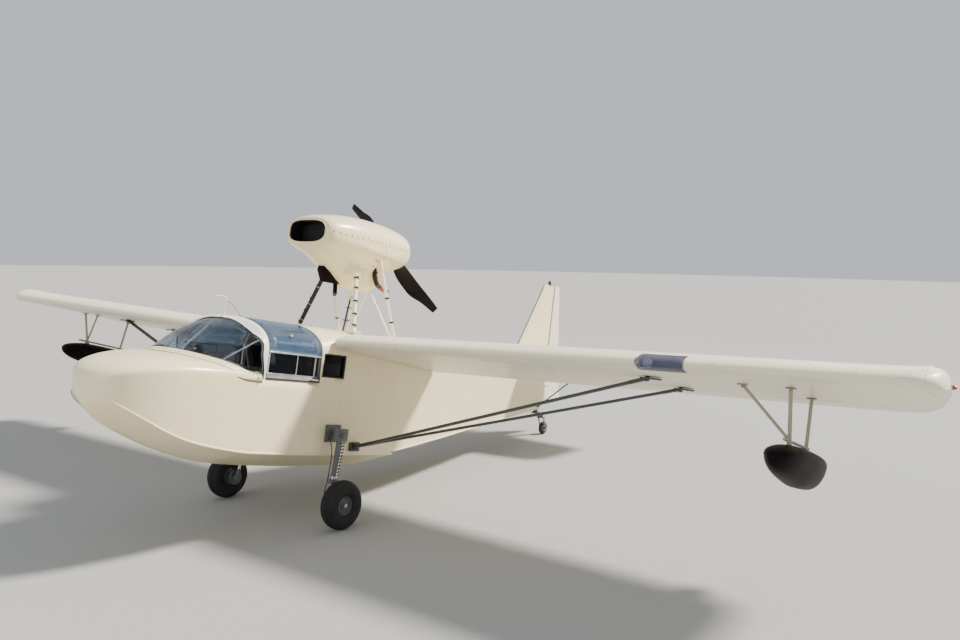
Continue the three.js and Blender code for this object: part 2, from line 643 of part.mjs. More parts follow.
// z, nose of the fin, half thickness of the fin, half thickness of the rudder at its axis
const FIN_ROWS = [
  [FIN_FOOT, 3727, 32, 25.5],
  [620, 4048, 26, 22],
  [FIN_TOP, 4360, 20, 18],
];
const rudderHinges = [250, 950].map((z) => V(0, RUDDER_AXIS_Y, z));
add('fin', joined(
  loft(FIN_ROWS.map(([z, nose, half, rudder]) => finRing(z, nose, RUDDER_AXIS_Y - rudder - SWING_GAP, half))),
  ...rudderHinges.map((at) => lug(at, V(0, 0, 1), RUDDER_AXIS_Y - 45))), CREAM);

function rudderRing(z, tailY, half) {
  const points = [];
  for (let k = 0; k <= 8; k += 1) {
    const a = (k / 8) * Math.PI;
    points.push(V(half * Math.cos(a), RUDDER_AXIS_Y - half * Math.sin(a), z));
  }
  return [...points, V(-3, tailY, z), V(3, tailY, z)];
}
add('rudder', cut(loft([
  rudderRing(-385, 5053, 27),
  rudderRing(372, 4890, 23.5),
  rudderRing(FIN_TOP + 10, 4743, 18),
]), ...rudderHinges.map((at) => slot(at, V(0, 0, 1)))), CREAM);

// Tailplane in one piece across the deck, elevators on one torque tube.
const PLANE_Z = ELEVATOR_AXIS.z;
function planeRing(x, noseY, tailY, half) {
  const points = [];
  const noseLength = Math.min(120, 0.4 * (tailY - noseY));
  for (let k = 0; k <= 6; k += 1) {
    const a = (k / 6) * Math.PI;
    points.push(V(x, noseY + noseLength * (1 - Math.sin(a)), PLANE_Z + half * Math.cos(a)));
  }
  return [...points, V(x, tailY, PLANE_Z - half * 0.85), V(x, tailY, PLANE_Z + half * 0.85)];
}
// x, leading edge, half thickness, half thickness of the elevator at its axis
const PLANE_ROWS = [
  [0, 3700, 24, 20],
  [1300, 3900, 21, 18],
  [1420, 3950, 19, 17],
  [1490, 4060, 14, 15],
  [1515, 4200, 9, 10],
];
const portRows = PLANE_ROWS.map(([x, nose, half, tail]) =>
  planeRing(x, nose, ELEVATOR_AXIS.y - tail - SWING_GAP, half));
const starboardRows = portRows.slice(1).reverse().map((ring) => ring.map((p) => V(-p.x, p.y, p.z)));
const elevatorHinges = [-1150, -450, 450, 1150].map((x) => V(x, ELEVATOR_AXIS.y, ELEVATOR_AXIS.z));
add('tailplane', joined(loft([...starboardRows, ...portRows]),
  ...elevatorHinges.map((at) => lug(at, V(1, 0, 0), ELEVATOR_AXIS.y - 40))), CREAM_CLOTH);

function elevatorRing(x, tailY, half) {
  const points = [];
  for (let k = 0; k <= 6; k += 1) {
    const a = (k / 6) * Math.PI;
    points.push(V(x, ELEVATOR_AXIS.y - half * Math.sin(a), ELEVATOR_AXIS.z + half * Math.cos(a)));
  }
  return [...points, V(x, tailY, ELEVATOR_AXIS.z - 3), V(x, tailY, ELEVATOR_AXIS.z + 3)];
}
const elevatorHalf = loft([
  elevatorRing(75, 4480, 20),
  elevatorRing(270, 4836, 20),
  elevatorRing(1400, 4800, 18),
  elevatorRing(1480, 4740, 15),
  elevatorRing(1512, 4600, 10),
]);
add('elevator', cut(joined(elevatorHalf, mirrored(elevatorHalf),
  bar(V(-90, ELEVATOR_AXIS.y, ELEVATOR_AXIS.z), V(90, ELEVATOR_AXIS.y, ELEVATOR_AXIS.z), 24)),
  ...elevatorHinges.map((at) => slot(at, V(1, 0, 0)))), CREAM_CLOTH);

addPair('tail_strut', clearOf(bar(V(30, 4460, -505), V(760, 4260, PLANE_Z - 20), 16, 30, 10),
  hullSide, grown('tailplane', UPRIGHT)), STRUT_GREY);

// Tip floats, in line with the wing, on three tubes each.
const FLOAT_X = 4540;
const FLOAT_Y = [130, 1400];
// share of length, half width, top, bottom
const FLOAT_ROWS = [
  [0, 14, -8, -34],
  [0.04, 62, 22, -86],
  [0.13, 104, 30, -158],
  [0.3, 138, 30, -226],
  [0.5, 148, 28, -262],
  [0.7, 140, 24, -258],
  [0.86, 112, 16, -216],
  [0.96, 66, 0, -140],
  [1, 18, -30, -80],
];
const FLOAT_TOP = V(FLOAT_X, 560, -352);
function floatRing([f, half, top, bottom]) {
  const y = FLOAT_Y[0] + f * (FLOAT_Y[1] - FLOAT_Y[0]);
  const drop = (FLOAT_TOP.y - y) * Math.tan(INCIDENCE);
  const mid = top - 0.32 * (top - bottom);
  const ring = [];
  for (let k = 0; k < 16; k += 1) {
    const a = (k / 16) * Math.PI * 2;
    const up = Math.sin(a);
    const [reach, n] = up > 0 ? [top - mid, 2.6] : [mid - bottom, 1.7];
    const x = half * Math.sign(Math.cos(a)) * Math.abs(Math.cos(a)) ** (2 / 2.3);
    ring.push(V(FLOAT_X + x, y, FLOAT_TOP.z - 30 + drop + mid + Math.sign(up) * reach * Math.abs(up) ** (2 / n)));
  }
  return ring;
}
addPair('float', loft(FLOAT_ROWS.map(floatRing)), FLOAT_BLACK);

function floatStruts() {
  const front = V(FLOAT_X, 560, FLOAT_TOP.z + 22);
  const rear = V(FLOAT_X - 8, 1060, FLOAT_TOP.z + 22 - 500 * Math.tan(INCIDENCE));
  const nose = V(FLOAT_X, 470, FLOAT_TOP.z + 22 + 90 * Math.tan(INCIDENCE));
  const tail = V(FLOAT_X - 8, 1120, FLOAT_TOP.z + 22 - 560 * Math.tan(INCIDENCE));
  return joined(
    bar(front, underWing(FLOAT_X, FRONT_SPAR_Y + 20, 2), 26),
    bar(front, underWing(FLOAT_X - 335, FRONT_SPAR_Y + 20, 2), 24),
    bar(rear, underWing(FLOAT_X - 20, REAR_SPAR_Y, 2), 26),
    bar(nose, tail, 24),
    bar(V(FLOAT_X, 560, FLOAT_TOP.z - 8), front, 44, 70, 12),
    bar(V(FLOAT_X - 8, 1060, rear.z - 34), rear, 44, 60, 12));
}
addPair('float_struts', clearOf(floatStruts(), grown('float_port', UPRIGHT), grown('wing_port', UPRIGHT)), STRUT_GREY);

// Engine pod: round-shouldered cowl over a deep belly that the mount tubes run into.
// y, half width, top z, waist z, lobe bottom z, belly bottom z
const POD_ROWS = [
  [0, 262, 1146, 1034, 922, 922],
  [8, 292, 1166, 1032, 898, 896],
  [40, 322, 1190, 1030, 866, 840],
  [110, 350, 1214, 1026, 840, 795],
  [220, 374, 1238, 1022, 818, 740],
  [330, 390, 1254, 1020, 806, 680],
  [440, 398, 1264, 1018, 802, 606],
  [540, 400, 1270, 1016, 798, 562],
  [680, 400, 1272, 1014, 794, 546],
  [820, 396, 1268, 1012, 792, 552],
  [905, 390, 1262, 1012, 792, 590],
  [945, 386, 1258, 1012, 794, 700],
  [975, 383, 1254, 1012, 796, 792],
  [1070, 368, 1236, 1014, 812, 812],
  [1130, 345, 1212, 1016, 836, 836],
  [1158, 310, 1184, 1018, 866, 866],
  [1166, 270, 1150, 1018, 900, 900],
];
const POD_OVER = 7;
const POD_UNDER = 9;
function podHalfWidth(z, half, waist, lobeBottom, belly) {
  const f = (waist - z) / (waist - lobeBottom);
  const lobe = f < 1 ? half * (1 - f ** 2.5) ** (1 / 2.5) : 0;
  const rise = Math.max(z - belly, 0);
  const flare = belly < lobeBottom - 2
    ? 118 * Math.sqrt(1 - (1 - Math.min(1, rise / 60)) ** 2) + 0.62 * rise : 0;
  return Math.max(lobe, Math.min(flare, half));
}
function podRing([y, half, top, waist, lobeBottom, belly], inset = 0) {
  const w = half - inset;
  const side = [];
  for (let k = POD_OVER; k > 0; k -= 1) {
    const a = (k / POD_OVER) * (Math.PI / 2);
    side.push(V(w * Math.cos(a) ** (2 / 2.5), y, waist + (top - inset - waist) * Math.sin(a) ** (2 / 2.5)));
  }
  for (let k = 0; k <= POD_UNDER; k += 1) {
    const a = (k / (POD_UNDER + 0.35)) * (Math.PI / 2);
    const z = waist - (waist - belly - inset) * Math.sin(a);
    side.push(V(podHalfWidth(z - inset, half, waist, lobeBottom, belly) - inset, y, z));
  }
  const port = side.filter((p) => p.x > 1);
  while (port.length < POD_OVER + POD_UNDER) port.push(V(1 + port.length * 0.01, y, port.at(-1).z - 0.5));
  const starboard = port.map((p) => V(-p.x, p.y, p.z)).reverse();
  return [V(0, y, top - inset), ...port, V(0, y, belly + inset), ...starboard];
}
const POD_SKIN = 8;
const podOuter = POD_ROWS.slice().reverse().map((row) => podRing(row));
const podInner = POD_ROWS.slice(0, -2).map((row) => podRing([row[0] + (row[0] < 5 ? 2 : 0), ...row.slice(1)],
  row[0] < 5 ? 22 : POD_SKIN + 10));

// Pod tubes: a front and a rear pair up to the engine, a V brace to the back of the belly and an upright conduit.
// foot x, foot y, foot z, upper x, upper y, upper z
const ENGINE_FLOOR = 880;
const CYLINDER_FLOOR = 960;
const FRONT_TUBE = [390, 400, 125, 232, 507, 660];
const REAR_TUBE = [390, 973, 157, 360, 749, 714];
const FRONT_TUBE_D = 40;
const REAR_TUBE_D = 34;
const CONDUIT_D = 34;
const PIPE_R = 25;
function tube([x0, y0, z0, x1, y1, z1], from, to, width) {
  const at = (z) => V(x0 + ((x1 - x0) * (z - z0)) / (z1 - z0), y0 + ((y1 - y0) * (z - z0)) / (z1 - z0), z);
  return bar(at(from), at(to), width);
}
const pipeTube = (radius, start) => bentTube([V(250, 676, start), V(250, 688, 880), V(250, 728, 790),
  V(250, 747, 718), V(250, 795, 640), V(250, 880, 605), V(250, 960, 592)], radius, 22, 12);
const ways = [tube(FRONT_TUBE, 500, 860, FRONT_TUBE_D + 16), tube(REAR_TUBE, 650, 985, REAR_TUBE_D + 8),
  pipeTube(PIPE_R + 6, 940)];
const SHAFT_END = 1186;
const outerPod = loft(podOuter);
const podHoles = [...ways, ...ways.map(mirrored),
  bar(V(0, 695, 480), V(0, 702, 620), CONDUIT_D + 8),
  disc(V(0, SHAFT_END - 40, PROP_AT.z), V(0, 1, 0), 64, 90)];
add('engine_pod', cut(loft([...podOuter, ...podInner]), ...podHoles), CREAM);

// Flat-four engine: crankcase, cylinder banks and the shaft that carries the propeller.
add('engine', joined(
  box(V(-210, 400, ENGINE_FLOOR), V(210, 960, 1135)),
  box(V(-354, 470, CYLINDER_FLOOR), V(354, 930, 1085)),
  disc(V(0, (900 + SHAFT_END) / 2, PROP_AT.z), V(0, 1, 0), 48, SHAFT_END - 900)), IRON);

const engineUnderside = grown('engine', UPRIGHT);
addPair('mount_tube_front',
  clearOf(tube(FRONT_TUBE, 40, ENGINE_FLOOR + 12, FRONT_TUBE_D), hullTop, engineUnderside), WHITE_TUBE);
addPair('mount_tube_rear',
  clearOf(tube(REAR_TUBE, 10, CYLINDER_FLOOR + 12, REAR_TUBE_D), hullTop, engineUnderside), WHITE_TUBE);
const braceLeg = bar(V(363, 1052, 20), V(0, 944, 592), 26);
add('mount_brace', clearOf(joined(braceLeg, mirrored(braceLeg), box(V(-40, 885, 566), V(40, 958, 640))), hullTop,
  thickened(outerPod, [...ALONG, ...UPRIGHT])), WHITE_TUBE);
add('mount_conduit', clearOf(bar(V(0, 695, 60), V(0, 702, ENGINE_FLOOR + 12), CONDUIT_D), hullTop,
  engineUnderside), WHITE_TUBE);

// Exhaust stubs, bent aft under the cowl.
addPair('exhaust', clearOf(pipeTube(PIPE_R, CYLINDER_FLOOR + 6), engineUnderside), RUST);

// Air outlet box under the front of the belly, with its drain stub.
const OUTLET_X = 0;
const OUTLET_HALF = 42;
const outletSide = (x) => [[172, 712], [200, 775], [330, 770], [560, 640], [510, 593], [460, 586], [250, 583]]
  .map(([y, z]) => V(x, y, z));
const outlet = joined(
  loft([outletSide(OUTLET_X - OUTLET_HALF), outletSide(OUTLET_X + OUTLET_HALF)]),
  bar(V(OUTLET_X, 455, 620), V(OUTLET_X, 470, 486), 44));
add('air_outlet', clearOf(outlet, thickened(outerPod, [...UPRIGHT, ...ALONG])), PROP_BLACK);

// Two-blade propeller behind the pod.
// radius, chord, shift of its middle towards the leading edge, thickness, pitch in degrees
const BLADE_ROWS = [
  [30, 66, 0, 46, 60],
  [90, 96, -8, 42, 54],
  [175, 136, -24, 34, 45],
  [330, 158, -39, 24, 34],
  [500, 156, -42, 16, 26],
  [700, 106, -16, 10, 19],
  [PROP_R, 60, 0, 6, 14],
];
function bladeRing([radius, chord, shift, thick, pitch]) {
  const ring = [];
  const lean = THREE.MathUtils.degToRad(pitch);
  for (let k = 0; k < 12; k += 1) {
    const a = (k / 12) * Math.PI * 2;
    const across = shift + (chord / 2) * Math.cos(a);
    const through = (thick / 2) * Math.sin(a);
    ring.push(V(radius, across * Math.sin(lean) + through * Math.cos(lean),
      across * Math.cos(lean) - through * Math.sin(lean)));
  }
  return ring;
}
const blade = loft(BLADE_ROWS.map(bladeRing));
const propeller = new THREE.Group();
propeller.position.copy(PROP_AT);
propeller.rotation.y = -PROP_ANGLE;
airframe.add(propeller);
const HUB_START = SHAFT_END + SEAT_GAP - PROP_AT.y;
add('propeller', joined(blade, blade.clone().rotateY(Math.PI),
  disc(V(0, HUB_START + 48, 0), V(0, 1, 0), 72, 96),
  disc(V(0, HUB_START + 58, 0), V(0, 1, 0), 50, 116, 24)), PROP_BLACK, propeller);

// Lamps and the pitot mast.
const tipLamp = lathe([[0, 0], [17, 0], [17, 8], [13, 22], [6, 30], [0, 32]], 16).rotateZ(-Math.PI / 2)
  .translate(TIP + SEAT_GAP, 330, 20);
add('nav_lamp_port', tipLamp, RED_GLASS, wingAt[0]);
add('nav_lamp_starboard', mirrored(tipLamp), GREEN_GLASS, wingAt[1]);
const beaconProfile = [[0, 0], [26, 0], [26, 16], [23, 44], [12, 62], [0, 66]];
add('beacon', lathe(beaconProfile, 20).rotateX(Math.PI / 2).translate(0, 4478, FIN_TOP + SEAT_GAP), RED_GLASS);
const MAST_Y = -826;
const mastFoot = roofAt(MAST_Y)[2];
add('pitot_mast', clearOf(joined(
  bar(V(0, MAST_Y, mastFoot - 10), V(0, MAST_Y, mastFoot + 176), 10, 16, 8),
  bar(V(0, MAST_Y + 8, mastFoot + 172), V(0, MAST_Y - 120, mastFoot + 172), 10, 10, 8)),
  grown('windscreen_bow', UPRIGHT)), BARE_METAL);

// Set the aircraft down: nose up until the main wheels and the tail wheel touch the same floor.
const reach = Math.hypot(TAILWHEEL_AT.y - WHEEL_AT.y, TAILWHEEL_AT.z - WHEEL_AT.z);
const attitude = Math.atan2(TAILWHEEL_AT.z - WHEEL_AT.z, TAILWHEEL_AT.y - WHEEL_AT.y)
  + Math.asin((WHEEL_R - TAILWHEEL_R) / reach);
airframe.rotation.x = -attitude;
const aircraft = new THREE.Group();
aircraft.add(airframe);
aircraft.updateMatrixWorld(true);
const extent = new THREE.Box3().setFromObject(aircraft, true);
const middle = extent.getCenter(V(0, 0, 0));
aircraft.position.set(-middle.x, -middle.y, -extent.min.z);

export default aircraft;
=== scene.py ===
import json
import math

import bmesh
import bpy
from mathutils import Matrix, Vector


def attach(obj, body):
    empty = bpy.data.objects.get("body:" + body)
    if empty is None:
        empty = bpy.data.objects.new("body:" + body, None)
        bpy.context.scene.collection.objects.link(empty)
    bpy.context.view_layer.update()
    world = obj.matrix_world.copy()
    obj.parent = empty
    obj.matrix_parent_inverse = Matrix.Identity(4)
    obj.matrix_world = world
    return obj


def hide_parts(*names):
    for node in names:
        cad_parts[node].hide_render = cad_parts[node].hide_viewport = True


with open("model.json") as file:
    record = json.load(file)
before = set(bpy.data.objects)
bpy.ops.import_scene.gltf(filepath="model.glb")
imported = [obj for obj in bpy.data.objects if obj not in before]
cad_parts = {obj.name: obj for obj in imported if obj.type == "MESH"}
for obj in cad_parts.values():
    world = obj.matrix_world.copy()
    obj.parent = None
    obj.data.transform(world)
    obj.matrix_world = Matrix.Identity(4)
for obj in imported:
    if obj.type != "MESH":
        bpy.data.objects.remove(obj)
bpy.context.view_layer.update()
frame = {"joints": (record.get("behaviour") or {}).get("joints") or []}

# Hull: plywood on frames under glass cloth and cream enamel, with a planing bottom, hard chines, one step
# and a crowned foredeck. The deck behind the cabin rises to the roof line and runs down to the sternpost.
ELEVATOR_AXIS = Vector((0, 4.440, 0.033))
SILL, BOW_END, CABIN_END = -0.386, -0.868, -0.121
COAMING_X, COAMING_Y = 0.570, -0.950
HULL_WALL = 0.024
WINDOW_Y, WINDOW_Z = (-0.095, 0.185), (-0.330, -0.118)
# y, keel z, chine x, chine z, side x, side top z, crown z, roundness of the deck
BOW_ROWS = [
    (-2.071, -0.586, 0.000, -0.586, 0.000, -0.585, -0.584, 2.0),
    (-2.064, -0.640, 0.050, -0.599, 0.058, -0.562, -0.528, 2.0),
    (-2.046, -0.690, 0.128, -0.612, 0.150, -0.528, -0.462, 2.0),
    (-2.005, -0.752, 0.222, -0.636, 0.248, -0.492, -0.414, 2.1),
    (-1.925, -0.822, 0.324, -0.688, 0.354, -0.450, -0.364, 2.2),
    (-1.800, -0.890, 0.418, -0.758, 0.448, -0.422, -0.316, 2.3),
    (-1.630, -0.966, 0.495, -0.846, 0.522, -0.404, -0.276, 2.4),
    (-1.440, -1.040, 0.538, -0.918, 0.562, -0.392, -0.254, 2.5),
    (-1.200, -1.112, 0.568, -0.968, 0.588, -0.386, -0.250, 2.5),
    (-0.950, -1.168, 0.582, -1.001, 0.598, -0.386, -0.255, 2.5),
    (-0.868, -1.181, 0.584, -1.009, 0.5996, -0.386, -0.257, 2.5),
]
CABIN_ROWS = [
    BOW_ROWS[-1],
    (-0.600, -1.203, 0.572, -1.020, 0.584, -0.386, -0.257, 2.5),
    (-0.350, -1.216, 0.558, -1.029, 0.568, -0.386, -0.257, 2.5),
    (-0.121, -1.225, 0.545, -1.035, 0.55025, -0.386, -0.257, 2.5),
]
AFT_ROWS = [
    (-0.121, -1.225, 0.545, -1.035, 0.552, -0.170, 0.122, 2.4),
    (0.000, -1.228, 0.540, -1.038, 0.5495, -0.130, 0.124, 2.7),
    (0.220, -1.230, 0.540, -1.040, 0.5495, -0.080, 0.126, 3.2),
    (0.520, -1.230, 0.540, -1.040, 0.5495, -0.080, 0.127, 3.2),
    (1.000, -1.230, 0.540, -1.040, 0.5495, -0.090, 0.096, 3.0),
]
TAIL_ROWS = [
    (1.003, -1.112, 0.536, -1.012, 0.5495, -0.090, 0.096, 3.0),
    (1.530, -1.028, 0.505, -0.925, 0.5495, -0.120, 0.052, 2.8),
    (2.000, -0.950, 0.438, -0.860, 0.480, -0.116, 0.040, 2.7),
    (2.500, -0.872, 0.355, -0.790, 0.398, -0.110, 0.030, 2.6),
    (3.000, -0.790, 0.270, -0.722, 0.312, -0.093, 0.021, 2.5),
    (3.500, -0.707, 0.185, -0.650, 0.222, -0.075, 0.012, 2.4),
    (4.300, -0.575, 0.062, -0.545, 0.090, -0.045, 0.003, 2.3),
    (4.580, -0.530, 0.032, -0.515, 0.046, -0.035, -0.002, 2.2),
]


def parked_frame():
    joints = {j["name"]: j for j in frame["joints"]}
    flight = joints["propeller_spin"]["axis"]
    tilt = Matrix.Rotation(math.atan2(flight[2], flight[1]), 4, "X")
    return Matrix.Translation(Vector(joints["elevator_hinge"]["pos_m"]) - tilt @ ELEVATOR_AXIS) @ tilt


PARKED = parked_frame()


def through(rows, share):
    """A row at a share of the way through the rows, on a curve that passes smoothly through all of them."""
    t = share * (len(rows) - 1)
    k = min(int(t), len(rows) - 2)
    f = t - k
    found = []
    for c in range(len(rows[0])):
        step = [rows[i + 1][c] - rows[i][c] for i in range(max(k - 1, 0), min(k + 2, len(rows) - 1))]
        here = step[min(k, 1)]
        before, after = (step[0] if k else here), step[-1]
        m0 = 2 * before * here / (before + here) if before * here > 0 else 0.0
        m1 = 2 * after * here / (after + here) if after * here > 0 else 0.0
        h = 3 * f * f - 2 * f**3
        found.append(rows[k][c] + h * here + f * (1 - f) ** 2 * m0 - f * f * (1 - f) * m1)
    return found


def mix(a, b, f):
    return a + (b - a) * f


def row_before(rows, value):
    """The number of the last row whose first column isn't past value, and how far on to the next it lies."""
    k = max(i for i, row in enumerate(rows[:-1]) if i == 0 or row[0] <= value)
    return k, (value - rows[k][0]) / (rows[k + 1][0] - rows[k][0])


def table_at(rows, value):
    """The row where the first column reaches value, with straight lines between the rows."""
    k, f = row_before(rows, value)
    return [mix(a, b, min(max(f, 0), 1)) for a, b in zip(rows[k], rows[k + 1])]


def pick(items, share):
    return items[round(share * (len(items) - 1))]


def sheet(across, along, place):
    """A sheet of quads with every corner carried to place(u, v), where u and v run from 0 to 1."""
    def draw(bm):
        made = bmesh.ops.create_grid(bm, x_segments=across, y_segments=along, size=0.5)["verts"]
        uv = bm.loops.layers.uv.verify()
        for vert in made:
            u, v = round((vert.co.x + 0.5) * across) / across, round((vert.co.y + 0.5) * along) / along
            for loop in vert.link_loops:
                loop[uv].uv = (u, v)
            vert.co = place(u, v)
    return draw


def both_sides(bm):
    """Adds the mirror image of all that is there."""
    bmesh.ops.mirror(bm, geom=bm.verts[:] + bm.edges[:] + bm.faces[:], axis="X", merge_dist=1e-4)


def weld(bm, within=2e-5):
    bmesh.ops.remove_doubles(bm, verts=bm.verts, dist=within)


def draw_all(bm, shapes):
    """Draws one shape, or a list of shapes and lists, into a mesh."""
    if callable(shapes):
        shapes(bm)
    else:
        for shape in shapes:
            draw_all(bm, shape)


def piece(name, shapes, material, slot, stands_for="", body="airframe", side=1, sharp=32, wall=0.0, edge=0.0,
          smooth=0):
    """One closed mesh of all the shapes, set down as parked, given its material and tied to its body; the solid
    that it stands for is hidden.
    """
    bm = bmesh.new()
    draw_all(bm, shapes)
    bmesh.ops.scale(bm, vec=(side, 1, 1), verts=bm.verts)
    if side < 0:
        bmesh.ops.reverse_faces(bm, faces=bm.faces)
    weld(bm)
    bmesh.ops.dissolve_degenerate(bm, dist=1e-6, edges=bm.edges)
    bmesh.ops.recalc_face_normals(bm, faces=bm.faces)
    bmesh.ops.transform(bm, matrix=PARKED, verts=bm.verts)
    mesh = bpy.data.meshes.new(name)
    bm.to_mesh(mesh)
    bm.free()
    mesh.materials.append(material)
    mesh.polygons.foreach_set("use_smooth", [True] * len(mesh.polygons))
    mesh.set_sharp_from_angle(angle=math.radians(sharp))
    obj = bpy.data.objects.new(name, mesh)
    bpy.context.scene.collection.objects.link(obj)
    if smooth:
        rounding = obj.modifiers.new("rounding", "SUBSURF")
        rounding.levels = rounding.render_levels = smooth
    if wall:
        thickness = obj.modifiers.new("wall", "SOLIDIFY")
        thickness.thickness, thickness.offset, thickness.use_even_offset = wall, -1, True
    if edge:
        softened = obj.modifiers.new("softened", "BEVEL")
        softened.width, softened.segments = edge, 2
        softened.limit_method, softened.angle_limit = "ANGLE", math.radians(35)
    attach(obj, body)
    if stands_for:
        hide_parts(stands_for)
    return obj


class Look:
    """The nodes of one material or node group. A method adds a node and gives back its output socket."""

    def __init__(self, tree):
        self.tree = tree

    def feed(self, socket, value):
        """Links an output to the socket or, where the value is a plain one, sets it there."""
        if isinstance(value, bpy.types.NodeSocket):
            self.tree.links.new(value, socket)
        else:
            socket.default_value = (*value, 1) if socket.type == "RGBA" and len(value) == 3 else value

    def shade(self, **values):
        for label, value in values.items():
            self.feed(self.tree.nodes["Principled BSDF"].inputs[label.replace("_", " ")], value)

    def add(self, kind, inputs, output=0, **settings):
        made = self.tree.nodes.new("ShaderNode" + kind)
        for key, value in settings.items():
            setattr(made, key, value)
        for key, value in inputs.items():
            self.feed(made.inputs[key], value)
        return made.outputs[output]

    def place(self, kind="Object"):
        return self.add("TexCoord", {}, kind)

    def stretched(self, scale, place=None):
        return self.add("Mapping", {"Vector": place or self.place(), "Scale": scale})

    def noise(self, scale, detail=2.0, roughness=0.5, place=None):
        return self.add("TexNoise", {"Vector": place or self.place(), "Scale": scale, "Detail": detail,
                                     "Roughness": roughness})

    def bands(self, direction, scale, place=None, **inputs):
        return self.add("TexWave", {"Vector": place or self.place(), "Scale": scale, **inputs}, "Fac",
                        wave_type="BANDS", bands_direction=direction)

    def maths(self, operation, *values, clamp=False):
        return self.add("Math", dict(enumerate(values)), operation=operation, use_clamp=clamp)

    def blend(self, share, first, second):
        return self.add("Mix", {0: share, 6: first, 7: second}, 2, data_type="RGBA")

    def ramp(self, source, zero, one):
        """A straight ramp that is 0 at one place and 1 at the other."""
        made = self.add("ValToRGB", {0: source})
        for element, (place, level) in zip(made.node.color_ramp.elements, sorted([(zero, 0.0), (one, 1.0)])):
            element.position, element.color = place, (level, level, level, 1)
        return made

    def bump(self, height, distance, **inputs):
        return self.add("Bump", {"Height": height, "Distance": distance, "Strength": 1.0, **inputs})

    def group(self, tree, **inputs):
        """A node of a shared group; gives all its outputs."""
        made = self.tree.nodes.new("ShaderNodeGroup")
        made.node_tree = tree
        for key, value in inputs.items():
            self.feed(made.inputs[key], value)
        return made.outputs


def group_of(name, inputs, outputs):
    """A new node group: its nodes, the sockets that bring its inputs and the sockets that take its outputs."""
    tree = bpy.data.node_groups.new(name, "ShaderNodeTree")
    for label, value in inputs.items():
        kind = "NodeSocketColor" if isinstance(value, tuple) else "NodeSocketFloat"
        tree.interface.new_socket(label, in_out="INPUT", socket_type=kind).default_value = value
    for label in outputs:
        kind = "NodeSocketColor" if label == "Colour" else "NodeSocketFloat"
        tree.interface.new_socket(label, in_out="OUTPUT", socket_type=kind)
    return Look(tree), tree.nodes.new("NodeGroupInput").outputs, tree.nodes.new("NodeGroupOutput").inputs


def weathering_group():
    """Blotches, downward streaks and a fine orange peel, for anything painted that lives outdoors."""
    look, start, end = group_of("weathering", {
        "Colour": (0.8, 0.8, 0.8, 1), "Dirt": (0.3, 0.25, 0.18, 1), "Amount": 0.25, "Roughness": 0.35,
        "Scale": 1.0}, ("Colour", "Roughness", "Height"))
    place = look.add("VectorMath", {0: look.place(), "Scale": start["Scale"]}, operation="SCALE")
    blotch = look.noise(1.7, 5.0, 0.62, place)
    streaks = look.ramp(look.noise(2.0, 4.0, 0.6, look.stretched((9.0, 9.0, 0.9), place)), 0.50, 0.78)
    specks = look.maths("MULTIPLY", look.ramp(look.noise(62.0, place=place), 0.66, 0.74), 0.35)
    marks = look.maths("MULTIPLY_ADD", look.ramp(blotch, 0.42, 0.72), streaks, specks)
    share = look.maths("MULTIPLY", marks, start["Amount"], clamp=True)
    rough = look.maths("MULTIPLY_ADD", blotch, 0.12, start["Roughness"])
    look.feed(end["Colour"], look.blend(share, start["Colour"], start["Dirt"]))
    look.feed(end["Roughness"], look.maths("MULTIPLY_ADD", share, 0.3, rough))
    look.feed(end["Height"], look.noise(240.0, 1.0, place=place))
    return look.tree


WEATHERING = weathering_group()


def material_of(name, **values):
    """A new material, with plain values on its shader's own sockets, and its nodes."""
    made = bpy.data.materials.new(name)
    made.use_nodes = True
    look = Look(made.node_tree)
    look.shade(**values)
    return made, look


def weathered(name, colour, dirt, amount, rough, peel=0.0004, scale=1.0, **values):
    made, look = material_of(name, **values)
    worn = look.group(WEATHERING, Colour=colour, Dirt=dirt, Amount=amount, Roughness=rough, Scale=scale)
    look.shade(Base_Color=worn["Colour"], Roughness=worn["Roughness"], Normal=look.bump(worn["Height"], peel))
    return made


CREAM = (0.87, 0.760, 0.480)
hull_paint = weathered("hull enamel", CREAM, (0.36, 0.31, 0.22), 0.20, 0.24, Coat_Weight=0.25)
# steps up one side: keel to chine, chine to sill, sill to side top, deck
BOTTOM_STEPS, SIDE_STEPS, RISE_STEPS, DECK_STEPS = 4, 8, 5, 16


def hull_point(row, k, rise):
    """Point k of a half section, counted from the keel; rise is the steps between the sill and the side top."""
    y, keel, chine_x, chine_z, side_x, side_z, crown, roundness = row
    if k <= BOTTOM_STEPS:
        f = k / BOTTOM_STEPS
        return Vector((chine_x * f, y, mix(keel, chine_z, f) + 0.02 * chine_x * f * (f - 1)))
    k -= BOTTOM_STEPS
    low_top = SILL if rise else side_z
    low_x = mix(chine_x, side_x, (low_top - chine_z) / (side_z - chine_z)) if rise else side_x
    if k <= SIDE_STEPS:
        return Vector((mix(chine_x, low_x, k / SIDE_STEPS), y, mix(chine_z, low_top, k / SIDE_STEPS)))
    k -= SIDE_STEPS
    if rise and k <= rise:
        return Vector((mix(low_x, side_x, k / rise), y, mix(SILL, side_z, k / rise)))
    a = (k - rise) / DECK_STEPS * math.pi / 2
    reach = 2 / roundness
    return Vector((side_x * max(math.cos(a), 0) ** reach, y, side_z + (crown - side_z) * math.sin(a) ** reach))


def deck_height(x, y):
    """Height of the foredeck, which carries the windscreen."""
    row = table_at(BOW_ROWS, y)
    return row[5] + (row[6] - row[5]) * (1 - min(abs(x) / row[4], 1) ** row[7]) ** (1 / row[7])


def hull_stretch(rows, along, rise, top):
    """One length of the port half: top is the number of deck steps that it has."""
    steps = BOTTOM_STEPS + SIDE_STEPS + rise + top
    return sheet(steps, along, lambda u, v: hull_point(through(rows, v), round(u * steps), rise))


DECK_EDGE = (0.5996, 0.598, 0.594, 0.588, 0.580, COAMING_X, COAMING_X)


